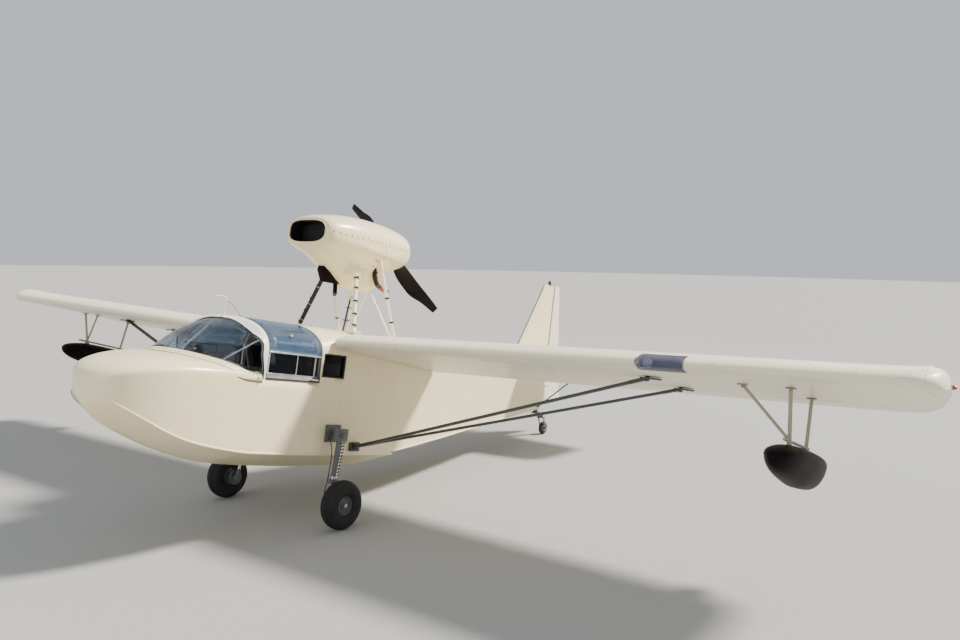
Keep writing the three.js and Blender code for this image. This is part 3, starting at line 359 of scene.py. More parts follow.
def deck_edge_point(u, v):
    """The deck turns down inside the hoop's foot to meet the sill."""
    return Vector((pick(DECK_EDGE, u) - 0.0036 * v, mix(BOW_END, -0.812, v),
                   SILL if u == 1 else deck_height(pick(DECK_EDGE, u), BOW_END)))


def cut_along(bm, place, axis, low, high):
    """Runs a knife square to an axis through the faces whose middles lie between two corners."""
    chosen = {f for f in bm.faces if all(low[i] <= f.calc_center_median()[i] <= high[i] for i in range(3))}
    geom = list(chosen | {e for f in chosen for e in f.edges} | {v for f in chosen for v in f.verts})
    normal = [float(i == axis) for i in range(3)]
    bmesh.ops.bisect_plane(bm, geom=geom, dist=1e-6, plane_co=[n * place for n in normal], plane_no=normal)


def cut_openings(bm):
    """Opens the cockpit and both rear windows, and closes the stern."""
    for side in (-1, 1):
        low, high = (min(side, 0), -0.12, -0.45), (max(side, 0), 0.30, 0.0)
        for place, axis in [(y, 1) for y in WINDOW_Y] + [(z, 2) for z in WINDOW_Z]:
            cut_along(bm, place, axis, low, high)
        cut_along(bm, side * COAMING_X, 0, (-0.7, -1.0, -0.40), (0.7, BOW_END + 0.01, 0))
    cut_along(bm, COAMING_Y, 1, (-0.7, -1.1, -0.40), (0.7, -0.8, 0))
    openings = []
    for face in bm.faces:
        x, y, z = face.calc_center_median()
        in_window = WINDOW_Y[0] < y < WINDOW_Y[1] and WINDOW_Z[0] < z < WINDOW_Z[1] and abs(x) > 0.3
        in_cockpit = abs(x) < COAMING_X and COAMING_Y < y < BOW_END and z > -0.6
        if in_window or in_cockpit:
            openings.append(face)
    bmesh.ops.delete(bm, geom=openings, context="FACES")
    stern = [e for e in bm.edges if e.is_boundary and min(v.co.y for v in e.verts) > 4.5]
    bmesh.ops.holes_fill(bm, edges=stern, sides=200)


piece("hull_shell", [
    hull_stretch(BOW_ROWS, 60, 0, DECK_STEPS), hull_stretch(CABIN_ROWS, 12, 0, 0),
    hull_stretch(AFT_ROWS, 24, RISE_STEPS, DECK_STEPS),
    hull_stretch([AFT_ROWS[-1], TAIL_ROWS[0]], 1, RISE_STEPS, DECK_STEPS),
    hull_stretch(TAIL_ROWS, 56, RISE_STEPS, DECK_STEPS), sheet(6, 4, deck_edge_point),
    lambda bm: weld(bm, 1e-4), both_sides, cut_openings], hull_paint, "hull_paint", "hull", sharp=28,
      wall=HULL_WALL)
STRIP = ((-0.004, -0.0075), (0.0075, -0.0055), (0.0090, 0.0030), (0.0030, 0.0095), (-0.006, 0.0100))


def chine_strip(rows, along):
    def place(u, v):
        row, (dx, dz) = through(rows, v), pick(STRIP, u)
        return Vector((row[2] + dx, row[0], row[3] + dz))
    return sheet(4, along, place)


piece("chine_strips", [chine_strip(BOW_ROWS[2:] + CABIN_ROWS[1:] + AFT_ROWS[1:], 120), chine_strip(TAIL_ROWS, 60),
                       both_sides], hull_paint, "hull_paint", sharp=60)

# Cockpit tub: plywood floor, with one bulkhead under the instrument panel and one behind the seats, painted
# grey inside and fixed to the hull's frames.
TUB_Y, TUB_FLOOR, TUB_HALF, TUB_REAR_HALF = (-0.952, 0.298), -0.952, 0.535, 0.515


def box(low, high, radius=0.0, segments=2, at=(0, 0, 0)):
    """A box between two corners, counted from at, with its edges rounded."""
    low, high = Vector(low) + Vector(at), Vector(high) + Vector(at)

    def draw(bm):
        place = Matrix.Translation((low + high) / 2) @ Matrix.Diagonal((*(high - low), 1))
        made = bmesh.ops.create_cube(bm, size=1, matrix=place)["verts"]
        if radius:
            bmesh.ops.bevel(bm, geom=list({e for v in made for e in v.link_edges}), offset=radius,
                            segments=segments, affect="EDGES", profile=0.5, material=-1)
    return draw


tub_paint = weathered("cockpit paint", (0.34, 0.34, 0.31), (0.12, 0.10, 0.08), 0.45, 0.6)
piece("cockpit_tub", [
    box((-TUB_HALF, TUB_Y[0], TUB_FLOOR - 0.012), (TUB_HALF, TUB_Y[1], TUB_FLOOR)),
    box((-TUB_HALF, TUB_Y[0] - 0.012, TUB_FLOOR), (TUB_HALF, TUB_Y[0], -0.42)),
    box((-TUB_REAR_HALF, TUB_Y[1] - 0.012, TUB_FLOOR), (TUB_REAR_HALF, TUB_Y[1], -0.10)),
], tub_paint, "panel", edge=0.002)

# Rear side windows: a pane of smoked plastic sheet set in each side of the hull behind the doors. A thin black
# rubber frame holds its edges in the opening.
PANE_X, SEAL_X, SEAL_BAND, LAP = 0.531, (0.534, 0.5515), 0.012, 0.002


def pair(name, shapes, material, slot, stands_for="", body="", **finish):
    """The port piece as drawn, and the starboard piece as its mirror image."""
    return [piece(f"{name}_{word}", shapes, material, slot, f"{stands_for}_{word}" if stands_for else "",
                  f"{body}_{word}" if body else "airframe", side, **finish)
            for word, side in (("port", 1), ("starboard", -1))]


smoked_glass, _ = material_of("smoked window", Base_Color=(0.008, 0.008, 0.010), Roughness=0.06,
                              Transmission_Weight=0.40, IOR=1.25, Specular_IOR_Level=0.2)
rubber_seal = weathered("rubber seal", (0.018, 0.018, 0.019), (0.10, 0.09, 0.08), 0.3, 0.7)
(y0, y1), (z0, z1) = WINDOW_Y, WINDOW_Z
pair("rear_window", [
    box((PANE_X - 0.003, y0 + 0.001, z0 + 0.001), (PANE_X + 0.003, y1 - 0.001, z1 - 0.001), 0.001)],
     smoked_glass, "smoked_pane", "rear_window")
pair("rear_window_seal", [
    box((SEAL_X[0], *low), (SEAL_X[1], *high), 0.002)
    for low, high in [((y0 - LAP, z0 - LAP), (y1 + LAP, z0 + SEAL_BAND)), ((y0 - LAP, z0), (y0 + SEAL_BAND, z1)),
                      ((y1 - SEAL_BAND, z0), (y1 + LAP, z1)), ((y0, z1 - SEAL_BAND), (y1, z1 + LAP))]],
     rubber_seal, "smoked_pane")

# Windscreen bow: a white moulded hoop, fixed to the hull's sides. The windscreen butts against its front
# edge and the doors close behind it.
SPRING_Z, ARCH_SHARE, ROOF_ROUND = -0.170, 0.76, 2.4
HOOP_Y = (-0.866, -0.787)
# y, half width, crown z of the cabin top
ROOF_ROWS = [(-0.866, 0.600, 0.115), (-0.121, 0.552, 0.122)]


def arch(s, y, lift=0.0):
    """A point of the cabin top: s is 0 on the centreline and 1 at the sill, minus to starboard."""
    _, side, crown = table_at(ROOF_ROWS, y)
    share = abs(s)
    if share > ARCH_SHARE:
        z = mix(SPRING_Z, SILL, (share - ARCH_SHARE) / (1 - ARCH_SHARE))
        return Vector((math.copysign(side + lift, s), y, z))
    a = share / ARCH_SHARE * math.pi / 2
    return Vector((math.copysign((side + lift) * math.sin(a) ** (2 / ROOF_ROUND), s), y,
                   SPRING_Z + (crown + lift - SPRING_Z) * max(math.cos(a), 0) ** (2 / ROOF_ROUND)))


def smoothstep(a, b, x):
    t = min(max((x - a) / (b - a), 0), 1)
    return t * t * (3 - 2 * t)


def hoop_front(s):
    """The band is broad over the crown and narrows down its legs."""
    return HOOP_Y[0] + 0.018 * smoothstep(0.55, 0.68, abs(s)) + 0.036 * smoothstep(0.74, 0.95, abs(s))


def hoop_sink(s):
    """Its front edge dips to meet the windscreen, most of all at the shoulders."""
    return -(0.024 + 0.032 * smoothstep(0.05, 0.35, abs(s))) * (1 - smoothstep(0.42, 0.66, abs(s)))


def hoop_point(u, v):
    s = 2 * u - 1
    return arch(s, mix(hoop_front(s), HOOP_Y[1], v), mix(hoop_sink(s), 0.004, smoothstep(-0.1, 0.85, v)))


def hoop_seal_point(u, v):
    s = 2 * u - 1
    return arch(s, hoop_front(s) + mix(-0.006, 0.003, v), hoop_sink(s) + 0.004)


frame_white = weathered("frame enamel", (0.86, 0.83, 0.74), (0.22, 0.20, 0.17), 0.22, 0.3)
piece("windscreen_bow_hoop", [sheet(96, 8, hoop_point)], frame_white, "cowl", "windscreen_bow", wall=0.026,
      edge=0.004)
piece("windscreen_rear_seal", [sheet(96, 1, hoop_seal_point)], rubber_seal, "panel", wall=0.008)

# Roof beam: the spine between the two doors, painted white, from the bow to the deck behind the cabin. A black
# drip strip runs along each side.
SPINE_Y = (HOOP_Y[1] + 0.0005, CABIN_END - 0.0005)
piece("roof_spine", [box((-0.038, SPINE_Y[0], 0.089), (0.038, SPINE_Y[1], 0.1225), 0.006, 3)], frame_white,
      "hull_paint", "roof_beam")
piece("roof_drip_strips", [box((x, SPINE_Y[0] + 0.0015, 0.118), (x + 0.004, SPINE_Y[1] - 0.0015, 0.1245), 0.001)
                           for x in (-0.0385, 0.0345)], rubber_seal, "panel")

# Windscreen: one clear plastic sheet bent round a curved foot on the foredeck. It is screwed down along a
# painted strip, with black sealant at both edges.
FOOT_HALF, FOOT_Y, FOOT_DEPTH = 0.588, -0.892, 0.510
FLANGE_WIDTH, FLANGE_LIFT, FLANGE_TURN = 0.042, 0.0022, 0.075
SCREWS = 45


def screen_foot(a):
    """A point of the foot: the angle runs from 0 at port to half a turn at starboard."""
    x, y = FOOT_HALF * math.cos(a), FOOT_Y - FOOT_DEPTH * math.sin(a)
    return Vector((x, y, deck_height(x, y)))


def screen_point(u, v):
    a, s = u * math.pi, (0.5 - u) * 1.93
    top = arch(s, hoop_front(s) + 0.004, hoop_sink(s) - 0.002)
    bulge = 0.035 * math.sin(v * math.pi) * math.sin(a)
    return screen_foot(a).lerp(top, v) + Vector((0, -bulge * 0.5, bulge))


def flange_point(u, v):
    """From a little way up the sheet, round a soft knee and out over the deck, then down past the hull's edge."""
    a = mix(-FLANGE_TURN, 1 + FLANGE_TURN, u) * math.pi
    past = max(-a, a - math.pi, 0) / (FLANGE_TURN * math.pi)
    a = min(max(a, 0), math.pi)
    back = Vector((0, (-0.815 - FOOT_Y) * past, 0))
    foot = screen_foot(a) + back
    out = Vector((math.cos(a), -math.sin(a) * 1.1, 0)).normalized()
    top = screen_point(a / math.pi, 0.085 * (1 - past)) + back + out * 0.003
    knee = foot + out * 0.006 + Vector((0, 0, FLANGE_LIFT))
    low = foot + out * FLANGE_WIDTH
    side = table_at(BOW_ROWS, low.y)[4]
    beyond = max(abs(low.x) - side, 0)
    low.x = math.copysign(min(abs(low.x), side + FLANGE_LIFT), low.x)
    low.z = deck_height(min(abs(low.x), side), min(low.y, BOW_END)) + FLANGE_LIFT - beyond
    return top.lerp(knee, v).lerp(knee.lerp(low, v), v)


def rod(a, b, radius, segments=16, chord=1.0, end_radius=None, at=(0, 0, 0)):
    """A round or streamlined bar between two points; chord stretches it as near to fore and aft as it can."""
    a, b = Vector(a) + Vector(at), Vector(b) + Vector(at)
    along = (b - a).normalized()
    fore = Vector((0, 1, 0)) - along * along.y
    if fore.length < 0.2:
        fore = Vector((0, 0, 1)) - along * along.z
    fore.normalize()
    turn = Matrix((fore.cross(along), fore, along)).transposed().to_4x4()

    def draw(bm):
        made = bmesh.ops.create_cone(bm, cap_ends=True, cap_tris=False, segments=segments, radius1=radius,
                                     radius2=radius if end_radius is None else end_radius, depth=(b - a).length)
        bmesh.ops.scale(bm, vec=(1, chord, 1), verts=made["verts"])
        bmesh.ops.transform(bm, matrix=Matrix.Translation((a + b) / 2) @ turn, verts=made["verts"])
    return draw


def screw(at, out, radius=0.0045):
    """A low round screw head that stands on a surface."""
    return rod(at - out * 0.001, at + out * 0.0014, radius, 8, end_radius=radius * 0.6)


def flange_screw(i):
    at, above, below = (flange_point((i + 0.5) / SCREWS, v) for v in (0.35, 0.30, 0.40))
    out = (flange_point((i + 0.52) / SCREWS, 0.35) - at).cross(above - below).normalized()
    return screw(at, out if out.z > 0 else -out, 0.0065)


clear_glass, _ = material_of("windscreen sheet", Base_Color=(0.52, 0.57, 0.68), Roughness=0.02,
                             Transmission_Weight=1.0, IOR=1.10, Specular_IOR_Level=0.35, Alpha=0.85)
flange_paint = weathered("flange enamel", (0.80, 0.71, 0.47), (0.16, 0.13, 0.09), 0.55, 0.3, scale=9.0)
piece("windscreen_sheet", [sheet(80, 14, lambda u, v: screen_point(u, 0.008 + 0.992 * v))], clear_glass,
      "clear_pane", "windscreen", sharp=60, wall=0.004)
piece("windscreen_flange", [sheet(90, 3, flange_point)], flange_paint, "hull_paint", wall=0.002, sharp=60)
piece("windscreen_screws", [flange_screw(i) for i in range(SCREWS)], rubber_seal, "bare_metal")
piece("windscreen_foot_seal", [
    sheet(90, 1, lambda u, v: flange_point(u, 1.0) + Vector((0, 0, mix(-0.004, FLANGE_LIFT, v)))),
    sheet(90, 1, lambda u, v: flange_point(u, 0.0) + Vector((0, 0, mix(-0.003, 0.005, v))))],
      rubber_seal, "panel", wall=0.003)

# Windscreen stays: slim pale tubes inside the sheet, one up the middle to the crown of the bow and one on
# each side to its shoulder, each in a small foot on the deck, and a compass in a black case between them.
# foot x and y, x and z on the bow, radius
STAYS = [((-0.085, -1.190), (-0.080, 0.078), 0.011)] + [
    ((x * 0.415, -1.130), (x * 0.540, -0.066), 0.0075) for x in (-1, 1)]


def stay(foot, head, radius):
    foot = (*foot, deck_height(*foot))
    return [rod(foot, (head[0], HOOP_Y[0] + 0.012, head[1]), radius),
            rod((0, 0, 0), (0, 0, 0.005), radius * 2.1, at=foot)]


piece("windscreen_stays", [stay(*row) for row in STAYS], frame_white, "cowl")
COMPASS = Vector((-0.020, -1.040, deck_height(0.02, -1.040)))
piece("compass_case", [box((-0.036, -0.030, 0.012), (0.036, 0.034, 0.082), 0.012, 3, COMPASS),
                       rod((0, 0, 0), (0, 0, 0.014), 0.020, 20, at=COMPASS)], rubber_seal, "panel")
piece("compass_card", [box((-0.022, 0.0335, 0.030), (0.022, 0.0365, 0.060), 0.001, at=COMPASS),
                       box((-0.020, -0.0320, 0.040), (0.020, -0.0295, 0.060), 0.001, at=COMPASS)],
      frame_white, "cowl")

# Doors: each is a bent frame of aluminium sheet with a blue roof pane and a sliding side pane. It hangs on a
# rod along the roof spine and lifts like a gull's wing; its foot is a bright sill channel.
DOOR_Y = (-0.781, -0.131)
DOOR_SKIN = 0.010
# ends and window edges from the hinge to the sill, and fore and aft, with the steps between them
DOOR_S = ((0.0385, 0.075, 0.713, 0.752, 0.941, 0.992), (2, 22, 2, 6, 1))
DOOR_RUN = ((DOOR_Y[0], -0.765, -0.149, DOOR_Y[1]), (1, 6, 1))


def steps_of(marks, counts):
    """All stations between the marks, with so many steps from each to the next."""
    found = [marks[0]]
    for a, b, n in zip(marks, marks[1:], counts):
        found += [mix(a, b, (i + 1) / n) for i in range(n)]
    return found


def cut_door_windows(bm):
    front, rear = DOOR_RUN[0][1:3]
    heights = [[arch(mark, -0.45).z for mark in DOOR_S[0][k:k + 2]] for k in (1, 3)]
    holes = [f for f in bm.faces if front < f.calc_center_median().y < rear
             and any(low < f.calc_center_median().z < high for high, low in heights)]
    bmesh.ops.delete(bm, geom=holes, context="FACES")


def side_strip(y0, y1, z0, z1, out):
    """A flat strip on the cabin's side, between two heights over the sill."""
    return sheet(1, 1, lambda u, v: arch(1, mix(y0, y1, v), out) + Vector((0, 0, mix(z0, z1, u))))


def cabin_strip(s0, y0, y1):
    return sheet(40, 1, lambda u, v: arch(mix(s0, 0.99, u), mix(y0, y1, v), 0.0045))


def pane_bar(y, width):
    top, foot = arch(DOOR_S[0][3], y, -0.008), arch(DOOR_S[0][4], y, -0.008)
    return box((min(top.x, foot.x) - 0.004, y - width / 2, foot.z), (foot.x + 0.003, y + width / 2, top.z), 0.0012)


def blue_pane():
    made, look = material_of("blue roof sheet", Roughness=0.04, Transmission_Weight=0.75, IOR=1.3,
                             Specular_IOR_Level=0.8, Alpha=0.80)
    look.shade(Base_Color=look.blend(look.noise(3.0, 3.0), (0.06, 0.13, 0.27), (0.22, 0.36, 0.56)))
    return made


def brushed_metal():
    made, look = material_of("bright aluminium", Metallic=1.0)
    lines = look.noise(5.0, 4.0, place=look.stretched((90.0, 4.0, 90.0)))
    cloud = look.ramp(look.noise(9.0, 4.0), 0.35, 0.7)
    look.shade(Base_Color=look.blend(cloud, (0.74, 0.75, 0.77), (0.46, 0.47, 0.48)),
               Roughness=look.maths("MULTIPLY_ADD", lines, 0.35, 0.12), Normal=look.bump(lines, 0.0002))
    return made


bright_metal = brushed_metal()
side_glass, _ = material_of("door side sheet", Base_Color=(0.07, 0.075, 0.09), Roughness=0.03, IOR=1.1,
                            Transmission_Weight=0.95, Specular_IOR_Level=0.35, Alpha=0.9)
door_s, door_y = steps_of(*DOOR_S), steps_of(*DOOR_RUN)
pair("door_frame", [sheet(len(door_s) - 1, len(door_y) - 1, lambda u, v: arch(pick(door_s, u), pick(door_y, v))),
                    cut_door_windows], frame_white, "bare_metal", "door", "door", wall=DOOR_SKIN, edge=0.0025)
pair("door_hinge_rod", [rod((0, DOOR_Y[0], 0), (0, DOOR_Y[1], 0), 0.005, at=(0.0433, 0, 0.118))], bright_metal,
     "bare_metal", body="door")
pair("door_sill", [side_strip(*DOOR_Y, 0.0090, 0.0530, 0.0035), side_strip(*DOOR_Y, 0.0470, 0.0540, 0.0085)],
     bright_metal, "bare_metal", body="door", wall=0.003, edge=0.001)
pair("door_window_rails", [
    side_strip(*DOOR_Y, 0.2250, 0.2400, 0.0045), side_strip(*DOOR_Y, 0.2305, 0.2365, 0.0075)],
     bright_metal, "bare_metal", body="door", wall=0.004, edge=0.001)
pair("door_window_bars", [pane_bar(y, width) for y, width in ((-0.425, 0.009), (-0.202, 0.008), (-0.190, 0.005))],
     bright_metal, "bare_metal", body="door")
pair("door_seal", [
    cabin_strip(0.06, DOOR_Y[1] - 0.006, DOOR_Y[1] + 0.002),
    cabin_strip(0.735, DOOR_Y[1] - 0.038, DOOR_Y[1] + 0.002),
    cabin_strip(0.06, DOOR_Y[0] - 0.002, DOOR_Y[0] + 0.004),
    sheet(1, 1, lambda u, v: arch(1, mix(DOOR_Y[1] - 0.125 + 0.045 * u, DOOR_Y[1] + 0.002, v), 0.0125)
          + Vector((0, 0, mix(0.001, 0.056, u)))),
    side_strip(*DOOR_Y, 0.001, 0.011, 0.0060)], rubber_seal, "bare_metal", body="door", wall=0.004, edge=0.001)
pair("door_roof_pane", [sheet(30, 6, lambda u, v: arch(mix(0.045, 0.733, u), mix(
    DOOR_Y[0] + 0.003, DOOR_Y[1] - 0.005, v), 0.0042))], blue_pane(), "tinted_pane", "door_glass", "door",
     sharp=60, wall=0.004)
pair("door_side_pane", [sheet(10, 4, lambda u, v: arch(mix(0.742, 0.965, u), mix(
    DOOR_Y[0] + 0.009, DOOR_Y[1] - 0.011, v), -0.0105))], side_glass, "tinted_pane", body="door", sharp=60,
     wall=0.004)
KNOB, HANDLE = arch(0.50, -0.500, 0.002), arch(0.975, -0.24, 0.006)
knob_out = Vector((KNOB.x, 0, KNOB.z - SPRING_Z)).normalized()
pair("door_latch", [rod(KNOB, KNOB + knob_out * 0.014, 0.012, 20),
                    rod(KNOB + knob_out * 0.014, KNOB + knob_out * 0.030, 0.017, 20, end_radius=0.011),
                    rod((0, 0, 0), (0.020, 0, 0), 0.008, 14, at=HANDLE),
                    box((0.012, -0.006, -0.007), (0.022, 0.075, 0.007), 0.003, at=HANDLE)],
     bright_metal, "bare_metal", body="door")

# Instrument panel: black crackle sheet across the front of the cockpit, with round dials, switches and knobs,
# under a padded black coaming that follows the deck.
PANEL_Y = COAMING_Y + 0.0245
COAMING_HALF = 0.568
# x, z, radius
DIALS = [(-0.42, -0.40, 0.041), (-0.32, -0.40, 0.041), (-0.22, -0.40, 0.041), (-0.37, -0.505, 0.041),
         (-0.27, -0.505, 0.041), (-0.02, -0.40, 0.030), (0.06, -0.40, 0.030), (0.14, -0.40, 0.030),
         (-0.02, -0.48, 0.030), (0.06, -0.48, 0.030), (0.24, -0.41, 0.041), (0.35, -0.41, 0.041)]
SWITCHES, KNOBS = (-0.10, -0.06, -0.02, 0.02, 0.06, 0.10), (0.18, 0.23, 0.28)


def crackle_finish():
    made, look = material_of("black crackle", Roughness=0.75)
    cells = look.add("TexVoronoi", {"Vector": look.place(), "Scale": 420.0}, "Distance")
    look.shade(Base_Color=look.blend(cells, (0.014, 0.014, 0.015), (0.05, 0.05, 0.052)),
               Normal=look.bump(cells, 0.0006))
    return made


def dial_finish():
    """Pale marks near the rim of a black dial."""
    made, look = material_of("dial face", Roughness=0.25)
    place = look.place("UV")
    ring = look.ramp(look.add("SeparateXYZ", {0: place}, "Y"), 0.70, 0.74)
    marks = look.maths("MULTIPLY", look.ramp(look.bands("X", 7.6, place), 0.86, 0.93), ring)
    look.shade(Base_Color=look.blend(marks, (0.01, 0.01, 0.011), (0.75, 0.75, 0.72)))
    return made


def coaming_point(u, v):
    x, a = mix(-COAMING_HALF, COAMING_HALF, u), v * math.tau
    return Vector((x, COAMING_Y - 0.016 + 0.022 * math.cos(a),
                   deck_height(x, -0.95) - 0.012 + 0.018 * math.sin(a)))


def disc(across, along, radius, depth=lambda v: 0.0, at=(0, 0, 0)):
    """A disc square to the flight line, drawn from its middle; depth gives its dish at a share of the radius."""
    return sheet(across, along, lambda u, v: Vector(at) + Vector((
        radius * v * math.cos(u * math.tau), depth(v), radius * v * math.sin(u * math.tau))))


def bezel(x, z, radius):
    def place(u, v):
        reach = radius + 0.004 * math.cos(v * math.tau)
        return Vector((x + reach * math.cos(u * math.tau), PANEL_Y + 0.004 + 0.004 * math.sin(v * math.tau),
                       z + reach * math.sin(u * math.tau)))
    return sheet(24, 8, place)


piece("instrument_panel_sheet", box((-0.530, COAMING_Y + 0.0005, -0.640), (0.530, PANEL_Y, -0.300), 0.006),
      crackle_finish(), "panel", "instrument_panel")
piece("cockpit_coaming", sheet(40, 8, coaming_point), rubber_seal, "panel", sharp=80)
piece("panel_dial_faces", [disc(24, 2, radius * 0.93, at=(x, PANEL_Y + 0.0035, z)) for x, z, radius in DIALS],
      dial_finish(), "panel", wall=0.001)
piece("panel_bezels", [
    [bezel(*dial) for dial in DIALS],
    [[rod((0, -0.002, 0), (0, 0.006, 0), 0.008, 12, at=(x, PANEL_Y, -0.585)),
      rod((0, 0.004, 0), (0, 0.020, 0.010), 0.0025, 8, at=(x, PANEL_Y, -0.585))] for x in SWITCHES],
    [[rod((0, -0.002, 0), (0, 0.030, 0), 0.004, 10, at=(x, PANEL_Y, -0.56)),
      rod((0, 0.028, 0), (0, 0.042, 0), 0.013, 16, at=(x, PANEL_Y, -0.56))] for x in KNOBS]],
      rubber_seal, "panel", sharp=50)

# Control column: one steel tube that rises from the floor between the seats, with a cross bar at its head
# and a turned grip for each hand.
FLOOR = -0.95
COLUMN_Y, BAR_Y, BAR_Z, BAR_HALF = -0.560, -0.600, -0.560, 0.190
# low and high z, low and high radius of the grip's turned lengths
GRIP = [(-0.580, -0.566, 0.013, 0.017), (-0.566, -0.452, 0.015, 0.016), (-0.452, -0.438, 0.017, 0.012)]
dark_iron = weathered("dark enamelled steel", (0.05, 0.05, 0.052), (0.16, 0.12, 0.09), 0.35, 0.45)
piece("control_column", [
    rod((0, COLUMN_Y, FLOOR + 0.0003), (0, COLUMN_Y, FLOOR + 0.050), 0.045, 24, end_radius=0.030),
    rod((0, COLUMN_Y, FLOOR + 0.03), (0, BAR_Y, BAR_Z), 0.013),
    rod((-BAR_HALF, BAR_Y, BAR_Z), (BAR_HALF, BAR_Y, BAR_Z), 0.013),
    [rod((x, BAR_Y, z0), (x, BAR_Y, z1), r0, end_radius=r1) for x in (-BAR_HALF, BAR_HALF)
     for z0, z1, r0, r1 in GRIP]], dark_iron, "iron", "control_stick")

# Seats: two plywood boxes, each with a stuffed seat cushion and a stuffed back in grey woven cloth, sewn in
# three upright channels, piped round the edge and laid loose in the seat.
SEAT_X0, SEAT_X1, SEAT_Y0, SEAT_Y1 = 0.037, 0.487, -0.420, 0.070
PAN_TOP, SEAT_TOP = -0.832, -0.7215
BACK_THICK, BACK_HEIGHT = 0.086, 0.556
SEAMS = ((SEAT_X0 + SEAT_X1) / 2 - 0.075, (SEAT_X0 + SEAT_X1) / 2 + 0.075)
SWELL = 0.014
LEAN = Matrix.Translation((0.0, 0.022, -0.760)) @ Matrix.Rotation(-0.22, 4, "X")


def weave_group():
    """Two sets of threads that cross, paler where the cloth has faded."""
    look, start, end = group_of("plain weave", {"Scale": 260.0, "Colour": (0.2, 0.2, 0.2, 1),
                                                "Second": (0.3, 0.3, 0.3, 1)}, ("Colour", "Height"))
    threads = [look.bands(direction, start["Scale"], Distortion=0.6, Detail=1.0) for direction in "XZ"]
    cross = look.maths("MULTIPLY", *threads)
    share = look.maths("ADD", look.noise(7.0, 4.0), cross, clamp=True)
    look.feed(end["Colour"], look.blend(share, start["Colour"], start["Second"]))
    look.feed(end["Height"], cross)
    return look.tree


def woven(name, colour, second, scale, depth, **values):
    made, look = material_of(name, **values)
    threads = look.group(WEAVE, Scale=scale, Colour=colour, Second=second)
    look.shade(Base_Color=threads["Colour"], Normal=look.bump(threads["Height"], depth))
    return made


def stuffed(form_box, voxel=0.008, cap=SWELL):
    """Blows a closed form up like a filled cushion. No point moves further than cap."""
    bm = bmesh.new()
    form_box(bm)
    mesh = bpy.data.meshes.new("stuffing")
    bm.to_mesh(mesh)
    bm.free()
    form = bpy.data.objects.new("stuffing", mesh)
    bpy.context.scene.collection.objects.link(form)
    even = form.modifiers.new("even", "REMESH")
    even.mode, even.voxel_size = "VOXEL", voxel
    form.data = bpy.data.meshes.new_from_object(form.evaluated_get(bpy.context.evaluated_depsgraph_get()))
    form.modifiers.clear()
    cloth = form.modifiers.new("cloth", "CLOTH")
    cloth.settings.use_pressure = True
    cloth.settings.uniform_pressure_force = 4.0
    cloth.settings.effector_weights.gravity = 0
    for number in range(1, 21):
        bpy.context.scene.frame_set(number)
    swollen = bpy.data.meshes.new_from_object(form.evaluated_get(bpy.context.evaluated_depsgraph_get()))
    form.modifiers.clear()
    bpy.context.scene.frame_set(1)
    for vert, blown in zip(form.data.vertices, swollen.vertices):
        move = blown.co - vert.co
        vert.co = vert.co + move * min(1, cap / max(move.length, 1e-6))
    made = bmesh.new()
    made.from_mesh(form.data)
    bpy.data.objects.remove(form)
    return made


def sewn(bm, axis_out, depth=0.012, width=0.009):
    """Presses sewn channels into the side of a cushion that faces axis_out."""
    bm.normal_update()
    for vert in bm.verts:
        press = sum(math.exp(-((vert.co.x - x) / width) ** 2) for x in SEAMS)
        vert.co -= axis_out * depth * press * max(vert.normal.dot(axis_out), 0)


def cushion_forms():
    """The seat cushion and the back of the port seat, simulated once and used for both seats."""
    base = stuffed(box((SEAT_X0 + SWELL, SEAT_Y0 + SWELL, PAN_TOP + 0.004),
                       (SEAT_X1 - SWELL, SEAT_Y1 - 0.02, SEAT_TOP - SWELL), 0.022, 3))
    back = stuffed(box((SEAT_X0 + SWELL, SWELL, 0.075),
                       (SEAT_X1 - SWELL, BACK_THICK - 0.010, BACK_HEIGHT - SWELL), 0.022, 3))
    sewn(base, Vector((0, 0, 1)))
    sewn(back, Vector((0, -1, 0)))
    for vert in base.verts:
        vert.co.z = max(vert.co.z, PAN_TOP + 0.001)
    bmesh.ops.transform(back, matrix=LEAN, verts=back.verts)
    found = {}
    for name, form in (("seat_cushion", base), ("seat_back", back)):
        found[name] = bpy.data.meshes.new(name)
        form.to_mesh(found[name])
        form.free()
    return found


def placed(matrix, shapes):
    """The shapes, carried to their place by a matrix."""
    def draw(bm):
        before = set(bm.verts)
        draw_all(bm, shapes)
        bmesh.ops.transform(bm, matrix=matrix, verts=[v for v in bm.verts if v not in before])
    return draw


WEAVE = weave_group()
seat_cloth = woven("grey seat cloth", (0.085, 0.092, 0.105), (0.20, 0.21, 0.23), 240.0, 0.0008, Roughness=0.95,
                   Sheen_Weight=0.35, Sheen_Roughness=0.5)
for name, mesh in cushion_forms().items():
    for cushion in pair(name, [lambda bm: bm.from_mesh(mesh)], seat_cloth, "seat_cloth",
                        "seat" if name == "seat_cushion" else "", sharp=70, smooth=1):
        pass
    bpy.data.meshes.remove(mesh)
pair("seat_box", [
    box((SEAT_X0, SEAT_Y0, FLOOR + 0.0006), (SEAT_X1, SEAT_Y1, PAN_TOP), 0.006),
    placed(LEAN, box((SEAT_X0 + 0.01, BACK_THICK - 0.012, 0.02), (SEAT_X1 - 0.01, BACK_THICK + 0.002, 0.53),
                     0.004))], tub_paint, "seat_cloth")
PIPING = [(x, y, SEAT_TOP - 0.028) for x, y in (
    (SEAT_X0 + 0.012, SEAT_Y0 + 0.010), (SEAT_X1 - 0.012, SEAT_Y0 + 0.010),
    (SEAT_X1 - 0.012, SEAT_Y1 - 0.03), (SEAT_X0 + 0.012, SEAT_Y1 - 0.03))]
pair("seat_piping", [rod(a, b, 0.0035, 8) for a, b in zip(PIPING, PIPING[1:] + PIPING[:1])], seat_cloth,
     "seat_cloth", sharp=70)

